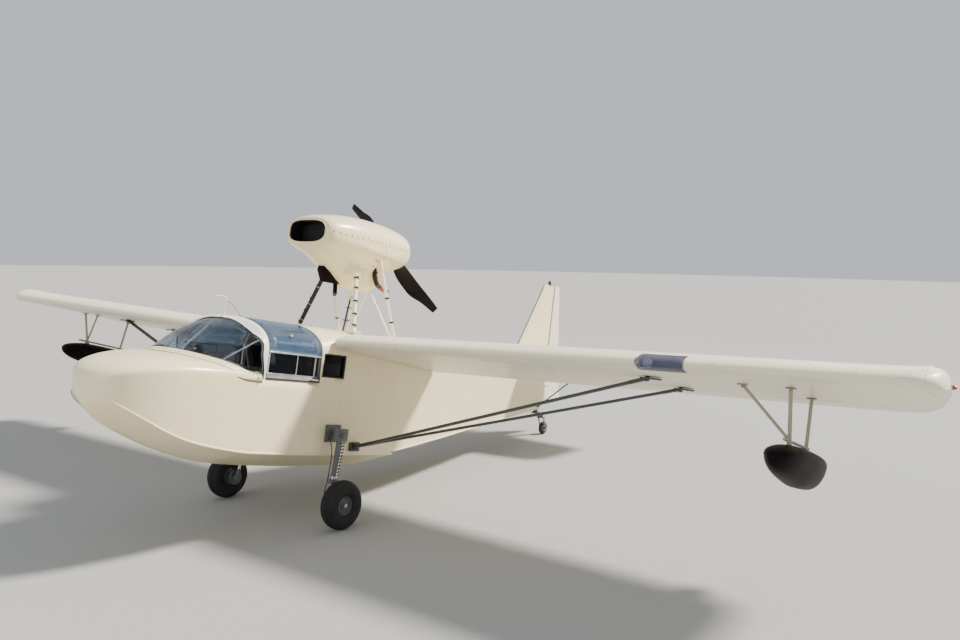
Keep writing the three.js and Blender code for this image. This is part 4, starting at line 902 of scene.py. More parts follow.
# Wings: spruce spars and ribs under doped cloth, with a plywood skin round the leading edge. The cloth sinks a
# little between the ribs and the tip is a bent bow.
CHORD, ROOT_X, RIB_PITCH, WING_TIP = 1.524, 0.550, 0.3005, 5.010
INCIDENCE, DIHEDRAL = math.radians(6.5), math.radians(1.79)
CAMBER, CAMBER_AT, THICKNESS = 0.04, 0.4, 0.12
WING = (Matrix.Translation((ROOT_X, 0, 0)) @ Matrix.Rotation(-DIHEDRAL, 4, "Y")
        @ Matrix.Rotation(-INCIDENCE, 4, "X"))
AILERON_X, AILERON_AXIS, AILERON_GAP = (2.500, 4.430), 1.262, 0.006
LIGHT_X, LIGHT_Y, LIGHT_DEPTH = (3.03, 3.39), 0.105, 0.150
# distance from the root, leading edge, trailing edge, share of the full thickness
TIP_ROWS = [
    (4.450, 0.000, 1.5240, 1.00), (4.610, 0.000, 1.500, 1.00), (4.700, 0.002, 1.432, 1.00),
    (4.775, 0.006, 1.320, 0.99), (4.840, 0.014, 1.150, 0.97), (4.905, 0.036, 0.910, 0.92),
    (4.965, 0.085, 0.640, 0.78), (4.998, 0.155, 0.480, 0.54), (5.0095, 0.260, 0.380, 0.02),
]


def skin_height(f, upper):
    """Height of the aerofoil's skin over its chord line, at f of the chord."""
    mean = (CAMBER / CAMBER_AT**2 * (2 * CAMBER_AT * f - f * f) if f < CAMBER_AT
            else CAMBER / (1 - CAMBER_AT) ** 2 * (1 - 2 * CAMBER_AT + 2 * CAMBER_AT * f - f * f))
    half = 5 * THICKNESS * (0.2969 * math.sqrt(f) - 0.126 * f - 0.3516 * f**2 + 0.2843 * f**3 - 0.1015 * f**4)
    return CHORD * (mean + (half + 0.001 * f) * (1 if upper else -1))


def mid_height(f):
    return (skin_height(f, True) + skin_height(f, False)) / 2


AILERON_F = AILERON_AXIS / CHORD
AILERON_NOSE = (skin_height(AILERON_F, True) - skin_height(AILERON_F, False)) / 2
AILERON_MID = mid_height(AILERON_F)


def rib_sag(depth, x, pitch):
    """How far the cloth sinks at x: nothing on a rib, and most half way between two."""
    return depth * (1 - (2 * (x / pitch % 1) - 1) ** 2)


def capped(v, along):
    """The share of the length at v, where the first and last of along + 2 steps only close the ends."""
    return min(max((v * (along + 2) - 1) / along, 0), 1)


def wing_skin(x, front, rear, thick, f, upper):
    """A point of the cloth, in the wing's own frame; f is the share of the full chord."""
    slack = rib_sag(0.0030, x - 0.02, RIB_PITCH) * smoothstep(0.13, 0.24, f) * (1 - smoothstep(0.90, 0.99, f))
    return Vector((x, mix(front, rear, f), (skin_height(f, upper) - slack * (1 if upper else -1)) * thick))


def section_marks(n, last=1.0):
    """Chord shares from the trailing edge over the top to the nose and back underneath, then the start again."""
    shares = [last * (1 - math.cos(math.pi * i / n)) / 2 for i in range(n + 1)]
    marks = [(f, True) for f in reversed(shares)] + [(f, False) for f in shares[1:]]
    return marks + marks[:1]


def wing_bay(rows, along, last=1.0):
    """One length of wing with both its ends closed."""
    marks = section_marks(22, last)

    def place(u, v):
        f, upper = pick(marks, u)
        x, front, rear, thick = through(rows, capped(v, along))
        if v in (0, 1):
            return Vector((x, mix(front, rear, f), thick * mid_height(f)))
        return wing_skin(x, front, rear, thick, f, upper)
    return sheet(len(marks) - 1, along + 2, place)


def plain_bay(x0, x1, along, last=1.0):
    return wing_bay([(x0, 0.0, CHORD, 1.0), (x1, 0.0, CHORD, 1.0)], along, last)


def cut_light_bay(bm):
    """Takes out the nose between the two ribs of the landing light and walls the hole in behind."""
    for place, axis in ((LIGHT_X[0], 0), (LIGHT_X[1], 0), (LIGHT_Y, 1)):
        cut_along(bm, place, axis, (2.9, -0.2, -0.2), (3.5, 0.1, 0.3))
    nose = [f for f in bm.faces if f.calc_center_median().y < LIGHT_Y
            and LIGHT_X[0] < f.calc_center_median().x < LIGHT_X[1]]
    rim = list({e for f in nose for e in f.edges if any(g not in nose for g in e.link_faces)})
    bmesh.ops.delete(bm, geom=nose, context="FACES")
    deep = bmesh.ops.extrude_edge_only(bm, edges=[e for e in rim if e.is_valid])["geom"]
    for vert in [g for g in deep if isinstance(g, bmesh.types.BMVert)]:
        vert.co.y = LIGHT_DEPTH
    bmesh.ops.holes_fill(bm, edges=[e for e in deep if isinstance(e, bmesh.types.BMEdge) and e.is_boundary],
                         sides=400)


def ribbed_cloth(name):
    """Doped cloth under weathered enamel, with a raised tape over every rib."""
    made, look = material_of(name, Coat_Weight=0.15)
    worn = look.group(WEATHERING, Colour=(0.85, 0.785, 0.60), Dirt=(0.40, 0.35, 0.25), Amount=0.24, Roughness=0.34,
                      Scale=0.8)
    out = look.maths("ABSOLUTE", look.add("SeparateXYZ", {0: look.place()}, "X"))
    bay = look.maths("FRACT", look.maths("MULTIPLY_ADD", out, 1 / RIB_PITCH, -(ROOT_X + 0.02) / RIB_PITCH + 0.5))
    tape = look.ramp(look.maths("ABSOLUTE", look.maths("SUBTRACT", bay, 0.5)), 0.046, 0.036)
    tone = look.blend(look.maths("MULTIPLY", tape, 0.22), worn["Colour"], (0.86, 0.82, 0.70))
    look.shade(Base_Color=tone, Roughness=worn["Roughness"],
               Normal=look.bump(tape, 0.0012, Normal=look.bump(worn["Height"], 0.0003)))
    return made


def root_seal_point(u, v):
    f, upper = pick(section_marks(14), u)
    return Vector((mix(0.0005, 0.011, v), CHORD * (0.006 + f * 0.985), skin_height(f, upper) * 0.93 + 0.002))


def tip_seam(x):
    """A raised bead round the nose where the moulded tip cap is lapped over the wing."""
    marks = [mark for mark in section_marks(40) if mark[0] < 0.5]

    def place(u, v):
        f, upper = pick(marks, u)
        out, front, rear, thick = table_at(TIP_ROWS, x + 0.007 * v)
        return Vector((out, mix(front, rear, f), skin_height(f, upper) * thick * 1.05))
    return sheet(len(marks) - 1, 1, place)


doped_cloth = ribbed_cloth("doped cloth")
FLAPPED = (AILERON_X[0] - AILERON_GAP, AILERON_X[1] + AILERON_GAP)
WING_SHAPES = [plain_bay(0.010, FLAPPED[0], 66),
               plain_bay(*FLAPPED, 52, (AILERON_AXIS - AILERON_NOSE - AILERON_GAP - 0.002) / CHORD),
               plain_bay(FLAPPED[1], TIP_ROWS[0][0], 2), wing_bay(TIP_ROWS, 40), weld]
for word, side, opening in (("port", 1, [cut_light_bay]), ("starboard", -1, [])):
    piece(f"wing_panel_{word}", [placed(WING, WING_SHAPES + opening)], doped_cloth, "cloth", f"wing_{word}",
          side=side, sharp=40)
pair("wing_root_seal", [placed(WING, sheet(29, 1, root_seal_point))], rubber_seal, "cloth")
pair("wing_tip_seam", [placed(WING, [tip_seam(4.884), tip_seam(4.906)])], doped_cloth, "cloth", sharp=60,
     wall=0.0035)

# Landing light: a sealed lamp in a dark bay in the nose of the port wing, behind a clear sheet that is bent
# to the wing's own nose and lapped over its edges.
LAMP_AT = Vector((3.105, 0.058, 0.006))
COVER_MARKS = [(0.0645 * (1 - i / 8) ** 2, i <= 8) for i in range(17)]


def cover_point(u, v):
    f, upper = pick(COVER_MARKS, u)
    return Vector((mix(LIGHT_X[0] - 0.008, LIGHT_X[1] + 0.008, v), CHORD * f * 1.12 - 0.0012,
                   skin_height(f, upper) * 1.02))


def creased_sheet():
    made, look = material_of("landing light cover", Base_Color=(0.46, 0.48, 0.60), IOR=1.10,
                             Transmission_Weight=0.88, Alpha=0.85)
    creases = look.noise(1.0, 3.0, place=look.stretched((26.0, 8.0, 5.0)))
    look.shade(Roughness=look.maths("MULTIPLY_ADD", creases, 0.25, 0.04), Normal=look.bump(creases, 0.006))
    return made


lamp_glass, _ = material_of("lamp lens", Base_Color=(0.95, 0.96, 1.0), Roughness=0.05, IOR=1.45,
                            Transmission_Weight=0.9, Alpha=0.7)
bay_grey = weathered("lamp bay paint", (0.115, 0.125, 0.165), (0.05, 0.045, 0.045), 0.4, 0.5, scale=8.0)
HALF_TURN = Matrix.Rotation(math.pi, 4, "X")
piece("landing_light_cover", placed(WING, sheet(16, 8, cover_point)), creased_sheet(), "clear_pane", sharp=60,
      wall=0.0015)
piece("landing_light_bay", placed(WING, box((LIGHT_X[0] + 0.002, 0.096, -0.030),
                                            (LIGHT_X[1] - 0.002, 0.104, 0.060), 0.002)), bay_grey, "panel")
piece("landing_light_bowl", placed(WING @ Matrix.Translation(LAMP_AT) @ HALF_TURN, disc(
    32, 10, 0.036, lambda v: 0.020 * (v * v - 1))), bright_metal, "bare_metal", sharp=60, wall=0.001)
piece("landing_light_lens", placed(WING, disc(32, 8, 0.037, lambda v: -0.021 - 0.006 * (1 - v * v), LAMP_AT)),
      lamp_glass, "clear_pane", sharp=60, wall=0.002)

# Ailerons: cloth over ribs with a round nose, each hinged on two metal brackets that reach back from the
# wing's rear spar.
AILERON_HINGES = (2.900, 4.030)
AILERON_SHARES = (1, 0.96, 0.92, 0.87, AILERON_F)


def aileron_ring():
    """y, z and the share of the chord that sets the sag, from the trailing edge over the top and back."""
    over, under = [[(CHORD * f, skin_height(f, upper), f) for f in AILERON_SHARES] for upper in (True, False)]
    nose = [(AILERON_AXIS - AILERON_NOSE * math.sin(k / 12 * math.pi),
             AILERON_MID + AILERON_NOSE * math.cos(k / 12 * math.pi), 0.8) for k in range(1, 12)]
    return over + nose + under[::-1] + over[:1]


def aileron_point(u, v):
    y, z, f = pick(AILERON_RING, u)
    x = mix(*AILERON_X, capped(v, 60))
    if v in (0, 1):
        return Vector((x, y, mid_height(y / CHORD)))
    slack = rib_sag(0.0018, x - 0.02, RIB_PITCH) * smoothstep(0.84, 0.88, f) * (1 - smoothstep(0.95, 1.0, f))
    return Vector((x, y, z - math.copysign(slack, z - skin_height(f, False) - 0.01)))


def hinge(at, reach):
    """A pin across the span and the bracket that carries it from ahead."""
    return [rod((-0.010, 0, 0), (0.010, 0, 0), 0.009, at=at),
            box((-0.008, -reach, -0.009), (0.008, 0, 0.009), 0.002, at=at)]


AILERON_RING = aileron_ring()
grey_metal = weathered("grey enamelled metal", (0.115, 0.12, 0.125), (0.10, 0.075, 0.05), 0.4, 0.42, scale=4.0)
pair("aileron_panel", [placed(WING, sheet(len(AILERON_RING) - 1, 62, aileron_point))], doped_cloth, "cloth",
     "aileron", "aileron", sharp=40)
pair("aileron_hinge", [placed(WING, [[
    hinge((x, AILERON_AXIS, AILERON_MID), AILERON_NOSE + 0.018),
    box((-0.014, -0.010, -0.022), (0.014, -0.006, 0.022), 0.001,
        at=(x, AILERON_AXIS - AILERON_NOSE, AILERON_MID))]
    for x in AILERON_HINGES])], grey_metal, "grey_metal")

# Tip lamps: a red glass to port and a green one to starboard, each pressed with fine ribs and held on the
# bow of its wing tip by a bright ring.
LAMP_PLACE = WING @ Matrix.Translation((WING_TIP + 0.0004, 0.330, 0.020)) @ Matrix.Rotation(math.pi / 2, 4, "Y")
LAMP_PROFILE = [(0.0, 0.0), (0.0150, 0.0), (0.0165, 0.006), (0.0145, 0.018), (0.0100, 0.027), (0.004, 0.0312),
                (0.0, 0.032)]
RING_PROFILE = [(0.0172, -0.004), (0.0205, -0.002), (0.0205, 0.004), (0.0172, 0.006), (0.0172, -0.004)]


def lamp_glass_of(name, colour):
    made, look = material_of(name, Base_Color=colour, Roughness=0.06, IOR=1.5, Transmission_Weight=0.6,
                             Coat_Weight=0.6)
    look.shade(Normal=look.bump(look.bands("Z", 90.0), 0.0006))
    return made


def turned(profile, place, steps=24):
    """Spins a profile of (radius, height) round the Z axis of place."""
    def spin(bm):
        first = [bm.verts.new((radius, 0, height)) for radius, height in profile]
        edges = [bm.edges.new(ends) for ends in zip(first, first[1:])]
        bmesh.ops.spin(bm, geom=first + edges, cent=(0, 0, 0), axis=(0, 0, 1), dvec=(0, 0, 0), angle=math.tau,
                       steps=steps, use_merge=True)
    return placed(place, spin)


for word, side, colour, colour_name in (("port", 1, (0.62, 0.015, 0.012), "red"),
                                        ("starboard", -1, (0.010, 0.34, 0.08), "green")):
    glass = lamp_glass_of(f"{colour_name} lamp glass", colour)
    piece(f"tip_lamp_{word}", turned(LAMP_PROFILE, LAMP_PLACE), glass, f"{colour_name}_lamp", f"nav_lamp_{word}",
          side=side, sharp=50)
    piece(f"tip_lamp_ring_{word}", turned(RING_PROFILE, LAMP_PLACE), bright_metal, "bare_metal", side=side,
          sharp=50)

# Lift struts: on each side a V of streamlined steel tube from one fitting above the chine up to both spars.
# Each tube has a sleeve at both ends and meets the wing at a bolted plate with a cross pin.
STRUT_FOOT = Vector((0.572, 0.430, -0.960))
STRUT_X, SPAR_Y = 3.480, (0.470, 1.130)
# spar, half width of the tube, its depth in half widths
STRUTS = [(SPAR_Y[0], 0.0145, 2.25), (SPAR_Y[1], 0.0135, 2.15)]


def under_wing(x, y, below=0.0):
    return WING @ Vector((x - ROOT_X, y, skin_height(y / CHORD, False) - below))


def bolts(a, b, places, radius=0.008, at=(0, 0, 0)):
    """The same hexagon head at each of the places."""
    return [rod(a, b, radius, 6, at=Vector(place) + Vector(at)) for place in places]


def lift_strut(y, width, chord):
    top, at = under_wing(STRUT_X, y, 0.010), under_wing(STRUT_X, y, 0.0073)
    along = (top - STRUT_FOOT).normalized()
    return [
        rod(STRUT_FOOT, top, width, 24, chord), rod(top - along * 0.16, top, width * 1.12, 24, chord * 0.92),
        rod(STRUT_FOOT + along * 0.02, STRUT_FOOT + along * 0.20, width * 1.12, 24, chord * 0.95),
        box((-0.045, -0.060, -0.011), (0.085, 0.060, 0.002), 0.0015, at=at),
        bolts((0, 0, -0.014), (0, 0, -0.010), [(x, y, 0) for x in (-0.030, 0.068) for y in (-0.045, 0.045)],
              0.007, at),
        rod((-0.01, -0.030, -0.024), (-0.01, 0.030, -0.024), 0.006, 12, at=at)]


strut_paint = weathered("strut enamel", (0.062, 0.066, 0.064), (0.045, 0.036, 0.028), 0.35, 0.42, scale=3.0,
                        Specular_IOR_Level=0.35)
FOOT_AT = Vector((0, STRUT_FOOT.y, STRUT_FOOT.z))
pair("lift_strut_vee", [
    [lift_strut(*row) for row in STRUTS], box((0.5508, -0.060, -0.045), (0.566, 0.070, 0.040), 0.002, at=FOOT_AT),
    box((0.562, -0.022, -0.022), (0.600, 0.034, 0.026), 0.004, at=FOOT_AT),
    bolts((0.5655, 0, 0), (0.571, 0, 0), [(0, y, z) for y in (-0.048, 0.058) for z in (-0.032, 0.028)],
          at=FOOT_AT)],
     strut_paint, "strut_grey", "lift_strut", sharp=40)

# Main gear: a steel leg with a polished piston, on a pivot bracket bolted to the hull's side. A coil spring on
# a guide rod, a brake plate and a brake hose go with it. It swings up for the water and down for land.
LEG_X = 0.650
PIVOT, WHEEL = Vector((LEG_X, 0.130, -0.845)), Vector((0.805, 0.100, -1.450))
AXLE, LEG_TOP = Vector((LEG_X, WHEEL.y, WHEEL.z)), PIVOT + Vector((0, 0, 0.040))
HULL_AT = Vector((0, PIVOT.y, PIVOT.z))
SPRING_TURNS, SPRING_RADIUS, SPRING_WIRE = 11, 0.021, 0.0042
SPRING_TOP, SPRING_FOOT = PIVOT + Vector((0, 0.050, -0.040)), AXLE + Vector((0, 0.042, 0.240))


def piston_finish():
    made, look = material_of("polished piston", Metallic=1.0)
    streaks = look.noise(4.0, place=look.stretched((30.0, 30.0, 3.0)))
    look.shade(Roughness=look.maths("MULTIPLY_ADD", streaks, 0.22, 0.08),
               Base_Color=look.blend(streaks, (0.80, 0.80, 0.82), (0.45, 0.43, 0.40)))
    return made


def spring_point(u, v):
    along = (SPRING_FOOT - SPRING_TOP).normalized()
    side = Vector((1, 0, 0))
    a, b = u * SPRING_TURNS * math.tau, v * math.tau
    out = side * math.cos(a) + along.cross(side) * math.sin(a)
    return (SPRING_TOP.lerp(SPRING_FOOT, u) + out * (SPRING_RADIUS + SPRING_WIRE * math.cos(b))
            + along * SPRING_WIRE * math.sin(b))


def curve_point(points, t):
    """A point on a smooth curve through the points, with t from 0 to 1."""
    span = t * (len(points) - 1)
    k = min(int(span), len(points) - 2)
    f = span - k
    p = [Vector(points[min(max(k + i, 0), len(points) - 1)]) for i in (-1, 0, 1, 2)]
    return (p[1] * 2 + (p[2] - p[0]) * f + (p[0] * 2 - p[1] * 5 + p[2] * 4 - p[3]) * f * f
            + (p[1] * 3 - p[0] - p[2] * 3 + p[3]) * f**3) / 2


def pipe(points, radius, along=40, around=14, closed_ends=True):
    """A round tube along a smooth curve through the points."""
    centres = [curve_point(points, i / along) for i in range(along + 1)]
    fronts = [(centres[min(i + 1, along)] - centres[max(i - 1, 0)]).normalized() for i in range(along + 1)]
    sides = [fronts[0].orthogonal().normalized()]
    for front in fronts[1:]:
        sides.append((sides[-1] - front * front.dot(sides[-1])).normalized())

    def place(u, v):
        i = min(max(round(v * (along + 2)) - 1, 0), along)
        swell = 0 if v in (0, 1) and closed_ends else radius
        a = u * math.tau
        return centres[i] + (sides[i] * math.cos(a) + fronts[i].cross(sides[i]) * math.sin(a)) * swell
    return sheet(around, along + 2, place)


def leg_part(start, end, radius):
    """A round length of the leg, between two shares of the way down it."""
    return rod(LEG_TOP.lerp(AXLE, start), LEG_TOP.lerp(AXLE, end), radius, 24)


HOSE_ROUTE = [(0.556, PIVOT.y - 0.060, PIVOT.z - 0.030), (0.600, PIVOT.y - 0.062, PIVOT.z - 0.060),
              PIVOT + Vector((-0.030, -0.045, -0.180)), AXLE + Vector((-0.028, -0.030, 0.180)),
              AXLE + Vector((-0.030, -0.045, 0.080)), AXLE + Vector((0.026, -0.050, 0.010))]
pair("gear_leg_forging", [
    leg_part(0, 0.62, 0.0225), leg_part(0.60, 0.645, 0.026), leg_part(0.86, 1, 0.0225),
    box((-0.022, -0.024, 0.160), (0.022, 0.060, 0.205), 0.005, at=AXLE),
    rod((-0.024, 0, 0), (0.026, 0, 0), 0.031, 24, at=AXLE), rod(AXLE, WHEEL + Vector((0.050, 0, 0)), 0.016, 24),
    rod((0.024, 0, 0), (0.034, 0, 0), 0.074, 32, at=AXLE),
    box((-0.030, -0.060, -0.055), (0.028, 0.080, 0.060), 0.008, at=PIVOT),
    rod((0.5505, 0, 0), (LEG_X + 0.060, 0, 0), 0.020, 24, at=HULL_AT),
    rod((0.060, 0, 0), (0.070, 0, 0), 0.026, 6, at=PIVOT),
    box((0.5500, -0.095, -0.075), (0.5600, 0.095, 0.085), 0.002, at=HULL_AT),
    bolts((0.559, 0, 0), (0.567, 0, 0), [(0, y, z) for y in (-0.080, 0.080) for z in (-0.058, 0.005, 0.068)],
          at=HULL_AT)], grey_metal, "grey_metal", "gear_leg", sharp=40)
pair("gear_piston", [leg_part(0.64, 0.87, 0.0165),
                     rod(PIVOT + Vector((0, 0.052, 0.010)), AXLE + Vector((0, 0.040, 0.190)), 0.010)],
     piston_finish(), "grey_metal", sharp=40)
pair("gear_spring", sheet(SPRING_TURNS * 20, 8, spring_point), dark_iron, "grey_metal", sharp=70)
pair("brake_hose", pipe(HOSE_ROUTE, 0.0045, 60, 10), rubber_seal, "grey_metal", sharp=70)

# Main wheels: cast rims in two halves with eight bolts, under black aircraft tyres with running grooves.
# Each turns on the leg's axle and is held by a hexagon nut.
# radius and distance from the wheel's middle plane, from the bead outwards
TYRE_HALF = [
    (0.084, 0.049), (0.084, 0.050), (0.090, 0.058), (0.104, 0.068), (0.122, 0.075), (0.150, 0.0785),
    (0.172, 0.0765), (0.190, 0.0690), (0.203, 0.0570), (0.2095, 0.0450), (0.2135, 0.0400), (0.2135, 0.0340),
    (0.2090, 0.0330), (0.2095, 0.0290), (0.2180, 0.0270), (0.2200, 0.0150), (0.2155, 0.0140), (0.2155, 0.0095),
    (0.2208, 0.0085), (0.222, 0.0),
]
RIM_HALF = [(0.0166, 0.042), (0.030, 0.042), (0.036, 0.040), (0.038, 0.030), (0.056, 0.024), (0.070, 0.028),
            (0.077, 0.038), (0.080, 0.0505), (0.0835, 0.0515), (0.0838, 0.047)]
RIM_BOLTS, RIM_BOLT_RADIUS = 8, 0.063


def axle_place(at):
    return Matrix.Translation(at) @ Matrix.Rotation(math.pi / 2, 4, "Y")


def mirrored(half):
    """The closed profile of a part that is alike on both sides of its middle plane."""
    return half + [(radius, -height) for radius, height in reversed(half) if height] + half[:1]


def round_the_axle(i):
    a = i / RIM_BOLTS * math.tau
    return WHEEL + Vector((0, RIM_BOLT_RADIUS * math.cos(a), RIM_BOLT_RADIUS * math.sin(a)))


tyre_rubber = weathered("tyre rubber", (0.014, 0.014, 0.015), (0.115, 0.100, 0.080), 0.40, 0.78, peel=0.0006,
                        scale=5.0)
pair("tyre_casing", turned(mirrored(TYRE_HALF), axle_place(WHEEL), 96), tyre_rubber, "tyre", "tyre", "wheel",
     sharp=30)
pair("wheel_rim", [
    turned(mirrored(RIM_HALF), axle_place(WHEEL), 64),
    bolts((-0.034, 0, 0), (0.034, 0, 0), [round_the_axle(i) for i in range(RIM_BOLTS)], 0.0055),
    rod((0.041, 0, 0), (0.049, 0, 0), 0.026, 24, end_radius=0.022, at=WHEEL),
    rod((0.020, 0.072, 0), (0.046, 0.074, 0), 0.004, 8, at=WHEEL)], grey_metal, "grey_metal", "rim", "wheel",
     sharp=35)
pair("axle_nut", bolts((0.0495, 0, 0), (0.058, 0, 0), [WHEEL], 0.017), bright_metal, "grey_metal", sharp=35)

# Tail wheel: a solid tyre in a steering fork that turns on a king pin, held by a leaf spring under the
# sternpost. A spring on each side ties the fork to the foot of the rudder.
KING_Y, FORK_TOP = 4.640, -0.612
TAILWHEEL, KING = Vector((0, 4.730, -0.780)), Vector((0, KING_Y, FORK_TOP))
TAIL_TYRE_HALF = [(0.0385, 0.020), (0.050, 0.026), (0.066, 0.027), (0.079, 0.020), (0.0865, 0.011), (0.090, 0.0)]
TAIL_HUB_HALF = [(0.0094, 0.030), (0.020, 0.030), (0.022, 0.018), (0.032, 0.016), (0.0384, 0.021)]
KING_HALF = [(0.0145, 0.025), (0.028, 0.025), (0.030, 0.022)]
# height and rear end of the two leaves
LEAVES = [(-0.579, 4.670), (-0.571, 4.630)]


def fork_blade(x):
    return [box((x - 0.006, -0.010, -0.030), (x + 0.006, 0.034, -0.014), 0.002, at=KING),
            rod((x, KING_Y + 0.008, FORK_TOP - 0.022), (x, TAILWHEEL.y, TAILWHEEL.z), 0.0062, chord=2.3),
            rod((x - 0.007, 0, 0), (x + 0.007, 0, 0), 0.020, 24, at=TAILWHEEL)]


piece("tailwheel_fork_forging", [
    fork_blade(-0.042), fork_blade(0.042), box((-0.049, -0.022, -0.036), (0.049, 0.040, -0.012), 0.004, at=KING),
    rod((0, 0, -0.020), (0, 0, 0.026), 0.014, 20, at=KING),
    rod((-0.048, 0, 0), (0.048, 0, 0), 0.009, at=TAILWHEEL),
    bolts((0, 0, 0), (0.004, 0, 0), [(-0.052, 0, 0), (0.048, 0, 0)], 0.013, TAILWHEEL)],
      grey_metal, "grey_metal", "tailwheel_fork", "tailwheel_fork", sharp=40)
piece("tailwheel_tyre", turned(mirrored(TAIL_TYRE_HALF), axle_place(TAILWHEEL), 64), tyre_rubber, "tyre",
      "tailwheel", "tailwheel", sharp=35)
piece("tailwheel_hub", turned(mirrored(TAIL_HUB_HALF), axle_place(TAILWHEEL), 48), grey_metal, "tyre",
      body="tailwheel", sharp=35)
piece("tailwheel_leaf", [
    [box((-0.030, 4.420, z - 0.006), (0.030, rear, z + 0.001), 0.0015) for z, rear in LEAVES],
    turned(mirrored(KING_HALF), Matrix.Translation((0, KING_Y, FORK_TOP + 0.014)), 32),
    box((-0.022, 4.455, -0.575), (0.022, 4.520, -0.515), 0.004),
    bolts((0, 0, -0.592), (0, 0, -0.584), [(x, y, 0) for x in (-0.017, 0.017) for y in (4.440, 4.545)], 0.007)],
      dark_iron, "grey_metal", "tailwheel_spring", sharp=40)
piece("tailwheel_steering_springs", [
    pipe([(x * 0.040, 4.588, -0.500), (x * 0.046, 4.600, -0.560), (x * 0.047, KING_Y, FORK_TOP - 0.010)],
         0.003, 20, 8) for x in (-1, 1)], bright_metal, "grey_metal", sharp=70)

# Fin and rudder: the fin is plywood, built into the tail deck, with a rounded nose and a dark leading strip.
# The rudder hangs on two hinges behind it and reaches down past the sternpost.
RUDDER_Y, HINGE_GAP, NOSE_STEPS = 4.620, 0.006, 12
FIN_FOOT, FIN_TOP = 0.030, 1.168
# z, nose of the fin, half thickness of the fin, half thickness of the rudder at its axis
FIN_ROWS = [(FIN_FOOT, 3.711, 0.0325, 0.0258), (0.0573, 3.727, 0.032, 0.0255), (0.620, 4.048, 0.026, 0.022),
            (FIN_TOP - 0.02, 4.348, 0.0202, 0.0182), (FIN_TOP, 4.372, 0.016, 0.016)]
# z, trailing edge, half thickness at the axis
RUDDER_ROWS = [(-0.385, 5.053, 0.0270), (-0.380, 5.060, 0.0272), (0.372, 4.890, 0.0235), (1.172, 4.745, 0.0182),
               (1.178, 4.735, 0.0150)]


def fin_station(z):
    """Height, nose, rear edge and half thickness of the fin."""
    z, nose, half, tail = table_at(FIN_ROWS, z)
    return z, nose, RUDDER_Y - tail - HINGE_GAP, half


def fin_point(u, v):
    z, nose, rear, half = fin_station(mix(FIN_FOOT, FIN_TOP, min(v / 0.97, 1)))
    depth = 0.22 * (rear - nose)
    half = 0.0 if v > 0.985 else half
    k = round(u * (NOSE_STEPS + 4))
    a = k / NOSE_STEPS * math.pi
    x, y = (math.cos(a), nose + depth * (1 - math.sin(a))) if k <= NOSE_STEPS else [
        (-0.80, rear), (0.0, rear), (0.80, rear), (1.0, nose + depth)][k - NOSE_STEPS - 1]
    return Vector((half * x, y, z))


def nose_strip_point(u, v):
    a = u * math.pi
    return Vector((0.0065 * math.cos(a), mix(3.745, 4.352, v) - 0.0030 - 0.005 * math.sin(a),
                   mix(0.075, FIN_TOP - 0.012, v)))


def rear_gap_shade_point(u, v):
    """A narrow dark strip on each side along the fin's rear edge: painted shade standing for the dark gap in front
    of the rudder.
    """
    z, _, rear, half = fin_station(mix(0.050, FIN_TOP - 0.006, v))
    return Vector((half * 0.80 + 0.0012 + 0.0008 * u, rear - 0.013 * (1 - u), z))


def rudder_point(u, v):
    z, tail, half = table_at(RUDDER_ROWS, mix(RUDDER_ROWS[0][0], RUDDER_ROWS[-1][0], capped(v, 40)))
    k = round(u * 20)
    a = k / 16 * math.pi
    x, y = (half * math.cos(a), RUDDER_Y - half * math.sin(a)) if k <= 16 else [
        (-0.003, tail), (0.003, tail), (half * 0.62, mix(RUDDER_Y, tail, 0.42)), (half, RUDDER_Y)][k - 17]
    return Vector((0.0 if v in (0, 1) else x, y, z))


rudder_cloth = weathered("rudder cloth", (0.79, 0.745, 0.61), (0.18, 0.15, 0.11), 0.30, 0.36, scale=2.2,
                         Coat_Weight=0.15)
piece("fin_skin", sheet(NOSE_STEPS + 4, 36, fin_point), hull_paint, "hull_paint", "fin", sharp=40)
piece("rudder_hinges", [[rod((0, 0, -0.010), (0, 0, 0.010), 0.009, at=(0, RUDDER_Y, z)),
                         box((-0.009, -0.045, -0.008), (0.009, 0, 0.008), 0.002, at=(0, RUDDER_Y, z))]
                        for z in (0.250, 0.950)], grey_metal, "grey_metal", sharp=40)
piece("fin_nose_strip", sheet(8, 24, nose_strip_point), grey_metal, "hull_paint", sharp=60, wall=0.002)
# Painted shade: dark strips along both sides of the fin's rear edge stand for the shadowed gap in front of the
# rudder.
piece("fin_rear_gap_painted_shade", [sheet(1, 24, rear_gap_shade_point), both_sides], rubber_seal, "hull_paint", sharp=60,
      wall=0.001)
piece("rudder_panel", sheet(20, 42, rudder_point), rudder_cloth, "hull_paint", "rudder", "rudder", sharp=40)
piece("rudder_horn", [
    box((side * 0.026 - 0.003, RUDDER_Y - 0.012, -0.200), (side * 0.075, RUDDER_Y + 0.014, -0.194), 0.001)
    for side in (-1, 1)], grey_metal, "grey_metal", body="rudder", sharp=40)

# Tailplane and elevators: one cloth-covered plane across the deck, with rounded tips, and two elevators on one
# torque tube in four hinges, cut away for the rudder.
PLANE_Z, TAIL_RIB_PITCH = ELEVATOR_AXIS.z, 0.2167
# x, leading edge, half thickness, half thickness of the elevator at its axis
PLANE_ROWS = [(0.000, 3.700, 0.024, 0.020), (0.650, 3.800, 0.0225, 0.019), (1.300, 3.900, 0.021, 0.018),
              (1.420, 3.950, 0.019, 0.017), (1.490, 4.060, 0.014, 0.015), (1.513, 4.200, 0.009, 0.010),
              (1.515, 4.230, 0.001, 0.010)]
# x, trailing edge, half thickness at the axis
ELEVATOR_ROWS = [(0.075, 4.480, 0.020), (0.150, 4.640, 0.020), (0.270, 4.836, 0.020), (0.800, 4.820, 0.019),
                 (1.400, 4.800, 0.018), (1.480, 4.740, 0.015), (1.512, 4.600, 0.010)]
STAY_FOOT, STAY_TOP = Vector((0.052, 4.447, -0.495)), Vector((0.760, 4.260, PLANE_Z - 0.022))


